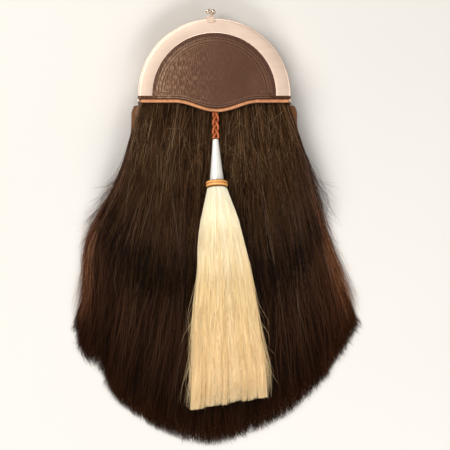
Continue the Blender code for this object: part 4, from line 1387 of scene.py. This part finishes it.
# The strand sets of the skirt. What a set doesn't name comes from skirtStrands, or from strandInputs above.
skirtStrands = {"Width": 0.50 * mm, "Locks": 70.0, "Pull": 0.35, "Wander": 0.025, "Rise": 0.9 * mm}
darkStrandSets = {
    "skirtLong": {"Count": 2700, "Seed": 3, "Points": 7, "First End": 0.91, "Depth": 0.30, "Cross": 0.02},
    "skirtUpper": {
        "Count": 2900,
        "Seed": 7,
        "Points": 6,
        "First End": 0.20,
        "Last End": 0.97,
        "Last Start": 0.2,
        "Depth": 0.22,
        "Wander": 0.05,
        "Pull": 0.10,
        "Cross": 0.12,
    },
    "skirtLower": {
        "Count": 3500,
        "Seed": 11,
        "Points": 6,
        "First Start": 0.30,
        "Last Start": 0.66,
        "First End": 0.92,
        "Depth": 0.35,
        "Cross": 0.05,
        "Stray": 3.0 * mm,
    },
    "skirtTips": {
        "Count": 5800,
        "Seed": 13,
        "Width": 0.46 * mm,
        "Points": 4,
        "First Start": 0.66,
        "Last Start": 0.90,
        "First End": 0.94,
        "Pull": 0.1,
        "Depth": 0.7,
        "Cross": 0.10,
        "Stray": 6.5 * mm,
    },
    "skirtSpikes": {
        "Count": 760,
        "Seed": 61,
        "Width": 0.62 * mm,
        "Points": 6,
        "First Start": 0.86,
        "Last Start": 0.94,
        "First End": 0.985,
        "Wander": 0.03,
        "Locks": 110.0,
        "Pull": 0.5,
        "Depth": 0.9,
        "Fly": 2.0 * mm,
        "Cross": 0.10,
        "Stray": 9.0 * mm,
        "Least Tint": 0.3,
        "Lock Step": 0.0,
    },
    # Pale fine strands: the hair's own paler hairs, also standing in as painted sheen on the lit top of the
    # skirt.
    "skirtFine": {
        "Count": 2300,
        "Seed": 29,
        "Width": 0.27 * mm,
        "Points": 6,
        "Last Start": 0.45,
        "First End": 0.10,
        "Last End": 0.95,
        "Wander": 0.06,
        "Pull": 0.0,
        "Depth": 0.0,
        "Rise": 1.3 * mm,
        "Cross": 0.34,
        "Least Tint": 0.72,
        "Lock Tint": 0.0,
    },
}
looseStrandSets = {
    "skirtLoose": {
        "Count": 620,
        "Seed": 17,
        "Width": 0.26 * mm,
        "Points": 10,
        "Last Start": 0.5,
        "First End": 0.6,
        "Wander": 0.08,
        "Pull": 0.0,
        "Depth": 0.0,
        "Rise": 1.0 * mm,
        "Fly": 6.0 * mm,
        "Cross": 0.12,
        "Stray": 7.0 * mm,
    },
    "skirtFlyaway": {
        "Count": 110,
        "Seed": 47,
        "Width": 0.25 * mm,
        "Points": 12,
        "First Start": 0.15,
        "Last Start": 0.4,
        "First End": 0.42,
        "Last End": 0.60,
        "Edge Bias": 0.95,
        "Wander": 0.02,
        "Pull": 0.0,
        "Depth": 0.2,
        "Fly": 9.0 * mm,
        "Stray": 24.0 * mm,
    },
    "skirtEdge": {
        "Count": 460,
        "Seed": 23,
        "Width": 0.28 * mm,
        "Points": 10,
        "Last Start": 0.45,
        "First End": 0.5,
        "Last End": 0.98,
        "Edge Bias": 0.80,
        "Cross": 0.10,
        "Wander": 0.06,
        "Pull": 0.0,
        "Depth": 0.5,
        "Fly": 6.0 * mm,
        "Stray": 10.0 * mm,
    },
}
fringeStrandSets = {
    "skirtFringe": {
        "Count": 400,
        "Seed": 83,
        "Width": 0.34 * mm,
        "Points": 8,
        "First Start": 0.22,
        "Last Start": 0.62,
        "First End": 0.55,
        "Last End": 0.94,
        "Edge Bias": 0.90,
        "Cross": 0.06,
        "Wander": 0.06,
        "Pull": 0.0,
        "Depth": 0.35,
        "Rise": 1.3 * mm,
        "Fly": 5.0 * mm,
        "Stray": 14.0 * mm,
    },
}


def hairSkirt(tree, finishes, strands):
    flat, top, room = hairGrid(tree)
    guideTop = np.maximum(top - hair["spring"], 0.9 * mm)
    points = np.concatenate([flat, guideTop[..., None]], 2)
    guide = guideSheet("hairGuide", points, room)
    wide = slice(3, -3)
    upper = points[wide].copy()
    depth = room[wide].copy()
    for i in range(upper.shape[0]):
        share = hair["massReach"] + 0.02 * noise.noise(Vector((i * 0.9, 4.2, 0.0)))
        rows = np.linspace(0, hair["rows"] - 1, hair["rows"]) * share
        for k in range(3):
            upper[i, :, k] = np.interp(rows, np.arange(hair["rows"]), upper[i, :, k])
        depth[i] = np.interp(rows, np.arange(hair["rows"]), depth[i])
    lower = upper.copy()
    ripple = np.array([0.05 * math.sin(i * 2.1) + 0.04 * math.sin(i * 0.83) for i in range(upper.shape[0])])
    upper[..., 2] -= depth * (hair["massDepth"] + ripple[:, None])
    lower[..., 2] -= depth - 0.5 * mm
    upper[..., 2] = np.maximum(upper[..., 2], lower[..., 2] + 0.4 * mm)
    lower[..., 2] = np.maximum(lower[..., 2], 0.15 * mm)
    sheets = [[tuple(p) for p in grid.reshape(-1, 3)] for grid in (upper, lower)]
    verts, faces = thickened(*sheets, gridFaces(*upper.shape[:2]))
    mass = piece("skirtMass", verts, faces, finishes["darkMass"], ["hair_skirt"], 180)
    addLay(mass.data, *gridLay(*upper.shape[:2]))
    kinds = (
        (darkStrandSets, "darkStrands"),
        (looseStrandSets, "looseStrands"),
        (fringeStrandSets, "fringeStrands"),
    )
    for sets, finish in kinds:
        for name, values in sets.items():
            made = grown(name, guide, strands, {**skirtStrands, "Hair": finishes[finish], **values})
            finishPiece(made, finishes[finish])
    bpy.data.objects.remove(guide)


# What hangs over the hair: plait, cone, collar and tassel. Their heights come from the hair's top.
plait = {
    "top": -(panel["apronDrop"] + panel["ogeeDrop"] + piping["radius"] + seam),
    "x": panel["ogeeX"] - 1.4 * mm,
    "startRise": 2.6 * mm,
    "strand": 2.15 * mm,
    "swing": 2.6 * mm,
    "lift": 1.6 * mm,
    "pitch": 25.5 * mm,
    "length": 25.9 * mm,
    "steps": 22,
    "fine": 4,
    "sides": 12,
    "flat": (1.22, 0.86),
}
cone = {
    "length": 41.2 * mm,
    "top": 2.9 * mm,
    "base": 7.1 * mm,
    "wall": 0.9 * mm,
    "drift": 1.3 * mm,
    "sides": 64,
}
cone["topY"] = plait["top"] - plait["length"] - seam - cone["top"] / 4
collar = {"radius": 10.7 * mm, "bore": 3.2 * mm, "length": 6.2 * mm, "sides": 72}
tassel = {
    "length": 220.0 * mm,
    "halfWidth": 39.5 * mm,
    "thickness": 19.0 * mm,
    "drift": 12.0 * mm,
    "ridge": 2.0 * mm,
    "room": 4.5 * mm,
    "guideWidth": 0.95,
    "massWidth": 0.80,
    "massReach": 0.87,
    "rows": 56,
    "columns": 64,
    "massSides": 72,
}
tasselSections = [
    {"along": 0.0, "width": 0.24, "thick": 0.96, "drift": 0.0},
    {"along": 0.03, "width": 0.27, "thick": 1.0, "drift": 0.05},
    {"along": 0.08, "width": 0.38, "thick": 0.98, "drift": 0.15},
    {"along": 0.16, "width": 0.50, "thick": 0.93, "drift": 0.24},
    {"along": 0.26, "width": 0.60, "thick": 0.86, "drift": 0.38},
    {"along": 0.38, "width": 0.69, "thick": 0.79, "drift": 0.60},
    {"along": 0.52, "width": 0.80, "thick": 0.72, "drift": 0.66},
    {"along": 0.66, "width": 0.88, "thick": 0.65, "drift": 0.76},
    {"along": 0.80, "width": 0.95, "thick": 0.56, "drift": 0.95},
    {"along": 0.92, "width": 1.0, "thick": 0.46, "drift": 1.0},
    {"along": 1.0, "width": 1.02, "thick": 0.36, "drift": 0.95},
]


def restHeight(tree, x, y, reach):
    shares = (-1, -0.5, 0, 0.5, 1)
    hits = []
    for a in shares:
        for b in shares:
            hit = tree.ray_cast(Vector((x + reach * a, y + reach * b, 1.0)), Vector((0, 0, -1)))[0]
            hits.append(hit.z if hit else 0.0)
    return max(hits) + seam


def tasselAxis(tree):
    low = restHeight(tree, plait["x"], cone["topY"], cone["top"]) + cone["top"]
    baseY = cone["topY"] - cone["length"]
    collarY = baseY - collar["length"] / 2
    high = restHeight(tree, plait["x"] + cone["drift"], collarY, collar["radius"] * 0.8) + collar["radius"]
    start = Vector((plait["x"], cone["topY"], low))
    return start, Vector((plait["x"] + cone["drift"], baseY, low + (high - low) * 0.95))


def plaitedStrands(tree, coneStart, finish):
    lift = plait["lift"] + plait["strand"] / 2 + seam
    startZ = panel["z"] + plait["startRise"] + lift
    steps = plait["steps"]
    heights = []
    for i in range(steps + 1):
        share = i / steps
        y = plait["top"] - plait["length"] * share
        needed = restHeight(tree, plait["x"], y, plait["swing"] + plait["strand"]) + lift
        climb = (coneStart.z + plait["strand"] - startZ) * smoothstep(share * 1.15)
        heights.append(max(needed, startZ + climb))
    shares = np.linspace(0, 1, steps * plait["fine"] + 1)
    smoothHeights = [through(np.linspace(0, 1, steps + 1), np.array(heights), s) for s in shares]
    for k in range(3):
        path = []
        for share, height in zip(shares, smoothHeights):
            turn = 2 * math.pi * (share * plait["length"] / plait["pitch"] + k / 3)
            x = plait["x"] + plait["swing"] * (0.85 + 0.15 * share) * math.sin(turn)
            y = plait["top"] - plait["length"] * share
            path.append(Vector((x, y, height + plait["lift"] * math.sin(2 * turn))))
        radii = [plait["strand"] / 2] * len(path)
        verts, faces = loft(tube(path, radii, plait["sides"], plait["flat"], True))
        node = f"braid_strand_{k + 1}"
        made = piece(f"plaitStrand{k + 1}", verts, faces, finish, [node], 70)
        # The "edge" layer marks where painted shade falls: the sides of each plait strand.
        addLayer(made, "edge", sideShares(plait["sides"]) * len(path))


def tasselCone(start, end, finish):
    length = (end - start).length
    axis = (end - start).normalized()
    slant = cone["base"] - cone["top"]
    wall = cone["wall"]
    top = cone["top"]
    base = cone["base"]
    outside = [(0.0, top * 0.6), (0.0, top * 0.86), (wall * 0.25, top * 0.97), (wall * 0.8, top * 1.02)]
    outside += [(length * i / 20, top + slant * (i / 20) ** 1.07) for i in range(1, 20)]
    outside += [(length - wall * 0.9, base - wall * 0.1), (length - wall * 0.35, base)]
    outside += [(length, base - wall * 0.3)]
    inside = [(length, base - wall * 0.9), (length * 0.5, top + slant * 0.47 - wall)]
    inside += [(wall * 1.5, top - wall), (wall, top * 0.6)]
    verts, faces = turned(outside + inside, start, axis, cone["sides"], True)
    piece("tasselCone", verts, faces, finish, ["tassel_cone"])


def tasselCollar(start, end, finish):
    axis = (end - start).normalized()
    top = end + axis * seam
    length = collar["length"]
    edge = length * 0.3
    inset = collar["radius"] - edge
    outer = [(0.0, inset)]
    for i in range(1, 8):
        angle = math.radians(90 * i / 8)
        outer.append((edge - edge * math.cos(angle), inset + edge * math.sin(angle)))
    for share in (0.40, 0.44, 0.48, 0.52, 0.56, 0.60):
        groove = 0.45 * mm if 0.43 < share < 0.57 else 0.0
        outer.append((length * share, collar["radius"] - groove))
    for i in range(8):
        angle = math.radians(90 - 90 * i / 8)
        outer.append((length - edge + edge * math.cos(angle), inset + edge * math.sin(angle)))
    profile = [(0.0, collar["bore"])] + outer + [(length, inset), (length, collar["bore"])]
    verts, faces = turned(profile, top, axis, collar["sides"], True)
    made = piece("tasselCollar", verts, faces, finish, ["tassel_ring"])
    shares = [min(1.0, 0.5 + 1.4 * (collar["radius"] - radius) / edge) for _, radius in profile]
    # The "edge" layer marks where painted shade falls: the collar's rounded edges and its groove.
    addLayer(made, "edge", [share for share in shares for _ in range(collar["sides"])])
    return top + axis * (length + seam), axis


# One ring of the tassel: from its right edge over the top to the left, and on below where it is whole.
def tasselRing(tree, head, axis, along, angles, grow):
    keys = column(tasselSections, "along")
    row = {name: through(keys, column(tasselSections, name), along) for name in ("width", "thick", "drift")}
    y = head.y - tassel["length"] * along
    middle = head.x + tassel["drift"] * row["drift"]
    halfWidth = tassel["halfWidth"] * row["width"] * grow
    halfThick = tassel["thickness"] * row["thick"] / 2
    settle = smoothstep(along / 0.12)
    bed = restHeight(tree, middle, y, collar["radius"] * 0.7) + halfThick * 0.9
    centre = head.z + (bed - head.z) * settle
    points = []
    for angle in angles:
        x = middle + halfWidth * math.cos(angle)
        z = centre + halfThick * math.sin(angle) * grow
        lean = ((z - centre) * axis.z + (x - middle) * axis.x) / axis.y * (1 - settle)
        spread = (y - lean) - tassel["length"] * 0.035 * along**3 * -math.cos(angle)
        floor = restHeight(tree, x, spread, 2 * mm) - 1.2 * mm
        points.append((x, spread, max(z, floor)))
    return points


# The strand sets of the tassel, over tasselStrands and strandInputs in the same way.
tasselStrands = {
    "Width": 0.48 * mm,
    "Locks": 26.0,
    "Pull": 0.28,
    "Wander": 0.04,
    "Rise": 0.8 * mm,
    "Depth": 0.3,
    "Dive": 0.08,
    "Fine Pale": 0.0,
    "Lock Tint": 0.55,
    "Lock Step": 0.009,
    "Slant": -0.01,
}
creamStrandSets = {
    "tasselStrands": {"Count": 3400, "Seed": 31, "Last Start": 0.02, "First End": 0.91, "Last End": 0.945},
    "tasselLower": {
        "Count": 1300,
        "Seed": 37,
        "Points": 6,
        "First Start": 0.2,
        "Last Start": 0.5,
        "First End": 0.93,
        "Last End": 0.943,
    },
    "tasselWisps": {
        "Count": 240,
        "Seed": 41,
        "Width": 0.34 * mm,
        "Points": 12,
        "Last Start": 0.3,
        "First End": 0.75,
        "Last End": 0.95,
        "Wander": 0.12,
        "Pull": 0.0,
        "Depth": 0.0,
        "Rise": 1.0 * mm,
        "Fly": 4.0 * mm,
        "Stray": 8.0 * mm,
    },
    "tasselEdge": {
        "Count": 120,
        "Seed": 43,
        "Width": 0.30 * mm,
        "Points": 12,
        "Last Start": 0.55,
        "First End": 0.6,
        "Last End": 0.95,
        "Edge Bias": 0.92,
        "Wander": 0.04,
        "Pull": 0.0,
        "Depth": 0.2,
        "Fly": 2.0 * mm,
        "Stray": 21.0 * mm,
    },
}


def hairTassel(tree, head, axis, finishes, strands):
    rows = tassel["rows"]
    columns = tassel["columns"]
    sides = tassel["massSides"]
    alongs = [1.04 * (i / (rows - 1)) for i in range(rows)]
    angles = [math.radians(-38 + 256 * i / (columns - 1)) for i in range(columns)]
    grid = np.array([tasselRing(tree, head, axis, along, angles, tassel["guideWidth"]) for along in alongs])
    points = grid.transpose(1, 0, 2)[::-1]
    settled = evened(points[..., 2], 2, 1)
    points[..., 2][:, 6:] = settled[:, 6:]
    for i in range(columns):
        for j in range(rows):
            ridge = noise.noise(Vector((i * 0.42 + 3.0 * (j / rows) ** 3, j * 0.05, 5.0)))
            points[i, j, 2] += tassel["ridge"] * ridge * smoothstep(j / rows / 0.35)
    room = np.full(points.shape[:2], tassel["room"])
    room *= np.linspace(1.0, 0.5, points.shape[1])[None, :]
    guide = guideSheet("tasselGuide", points, room)
    whole = [2 * math.pi * i / sides for i in range(sides)]
    reaches = [along * tassel["massReach"] for along in alongs[:-3]]
    rings = [tasselRing(tree, head, axis, along, whole, tassel["massWidth"]) for along in reaches]
    verts, faces = loft(rings)
    mass = piece("tasselMass", verts, faces, finishes["creamMass"], ["tassel_hair"], 180)
    index = np.arange(sides * len(rings))
    addLay(mass.data, (index % sides) / sides, (index // sides) / len(rings))
    for name, values in creamStrandSets.items():
        made = grown(name, guide, strands, {**tasselStrands, "Hair": finishes["creamStrands"], **values})
        finishPiece(made, finishes["creamStrands"])
    bpy.data.objects.remove(guide)


# Studio: pale floor, soft lights, long lens straight above.
studio = {
    "lens": 200.0,
    "sensor": 36.0,
    "viewWidth": 0.45,
    "lookAt": (10.7 * mm, -129.7 * mm),
    "floorReach": 3.0,
    "floorTones": [(0.0, (0.60, 0.59, 0.57)), (1.0, (0.64, 0.63, 0.61))],
    "room": (1.0, 0.97, 0.94, 1.0),
    "roomStrength": 0.2,
}
softLights = {
    "windowLight": {
        "spot": (-0.95, 0.6, 1.25),
        "size": (1.1, 0.9),
        "power": 25.0,
        "colour": (1.0, 0.96, 0.905),
    },
    "roomLight": {
        "spot": (1.1, -0.5, 1.4),
        "size": (1.2, 1.0),
        "power": 12.0,
        "colour": (1.0, 0.965, 0.92),
    },
    "lowLight": {
        "spot": (0.1, -1.3, 1.4),
        "size": (1.1, 0.7),
        "power": 24.0,
        "colour": (1.0, 0.97, 0.94),
    },
    "overLight": {
        "spot": (-0.62, 0.45, 2.1),
        "size": (0.8, 0.8),
        "power": 3.0,
        "colour": (1.0, 0.965, 0.94),
    },
}


def paleFloor():
    mesh = bpy.data.meshes.new("paleFloor")
    reach = studio["floorReach"]
    corners = [(-reach, -reach), (reach, -reach), (reach, reach), (-reach, reach)]
    mesh.from_pydata([(x, y, -0.2 * mm) for x, y in corners], [], [(0, 1, 2, 3)])
    floor = bpy.data.objects.new("paleFloor", mesh)
    bpy.context.scene.collection.objects.link(floor)

    def paint(graph):
        cloud = graph.noise(graph.stretched((3, 3, 3)), 1.0, 2.0)
        return {"Base Color": graph.ramp(cloud, studio["floorTones"])}, {"Roughness": 0.7}, []

    mesh.materials.append(newMaterial("paleGround", paint))


def softLight(name, values, aim):
    light = bpy.data.lights.new(name, "AREA")
    light.shape = "RECTANGLE"
    light.size, light.size_y = values["size"]
    light.energy = values["power"]
    light.color = values["colour"]
    made = bpy.data.objects.new(name, light)
    made.location = values["spot"]
    made.rotation_euler = (Vector(aim) - Vector(values["spot"])).to_track_quat("-Z", "Y").to_euler()
    bpy.context.scene.collection.objects.link(made)


def makeStudio():
    paleFloor()
    x, y = studio["lookAt"]
    for name, values in softLights.items():
        softLight(name, values, (x, y, 0.0))
    world = bpy.data.worlds.new("paleRoom")
    world.use_nodes = True
    background = world.node_tree.nodes["Background"]
    background.inputs["Color"].default_value = studio["room"]
    background.inputs["Strength"].default_value = studio["roomStrength"]
    bpy.context.scene.world = world
    camera = bpy.data.cameras.new("overCamera")
    camera.lens = studio["lens"]
    camera.sensor_width = studio["sensor"]
    made = bpy.data.objects.new("overCamera", camera)
    distance = studio["viewWidth"] * studio["lens"] / studio["sensor"]
    camera.clip_end = distance * 4
    made.location = (x, y, distance + 20 * mm)
    bpy.context.scene.collection.objects.link(made)
    bpy.context.scene.camera = made


def makeSporran():
    startScene()
    print("sizes read from the frame")
    finishes = makeMaterials()
    print("materials ready")
    frameHalves(finishes["satin"])
    hingeRivets(finishes["polished"])
    claspHalf("claspFront", "front_clasp", 1, -1, finishes["polished"])
    claspHalf("claspBack", "back_clasp", -1, 1, finishes["polished"])
    print("metal frame and clasp made")
    leatherPouch(finishes["gusset"])
    beltTunnel(finishes["gusset"])
    lunettePanel(finishes["tooled"])
    pipedEdge(finishes["piping"])
    stitches = stitchTree()
    whipStitches(stitches, finishes["darkThread"])
    pouchStitches(stitches, finishes["paleThread"])
    print("leather made")
    hairTree = nodeTree("hair_skirt")
    strands = strandTree()
    hairSkirt(hairTree, finishes, strands)
    print("hair skirt made")
    start, end = tasselAxis(hairTree)
    plaitedStrands(hairTree, start, finishes["plait"])
    tasselCone(start, end, finishes["cone"])
    head, axis = tasselCollar(start, end, finishes["collar"])
    hairTassel(hairTree, head, axis, finishes, strands)
    print("plait, cone and tassel made")
    makeStudio()
    print("studio ready")


makeSporran()
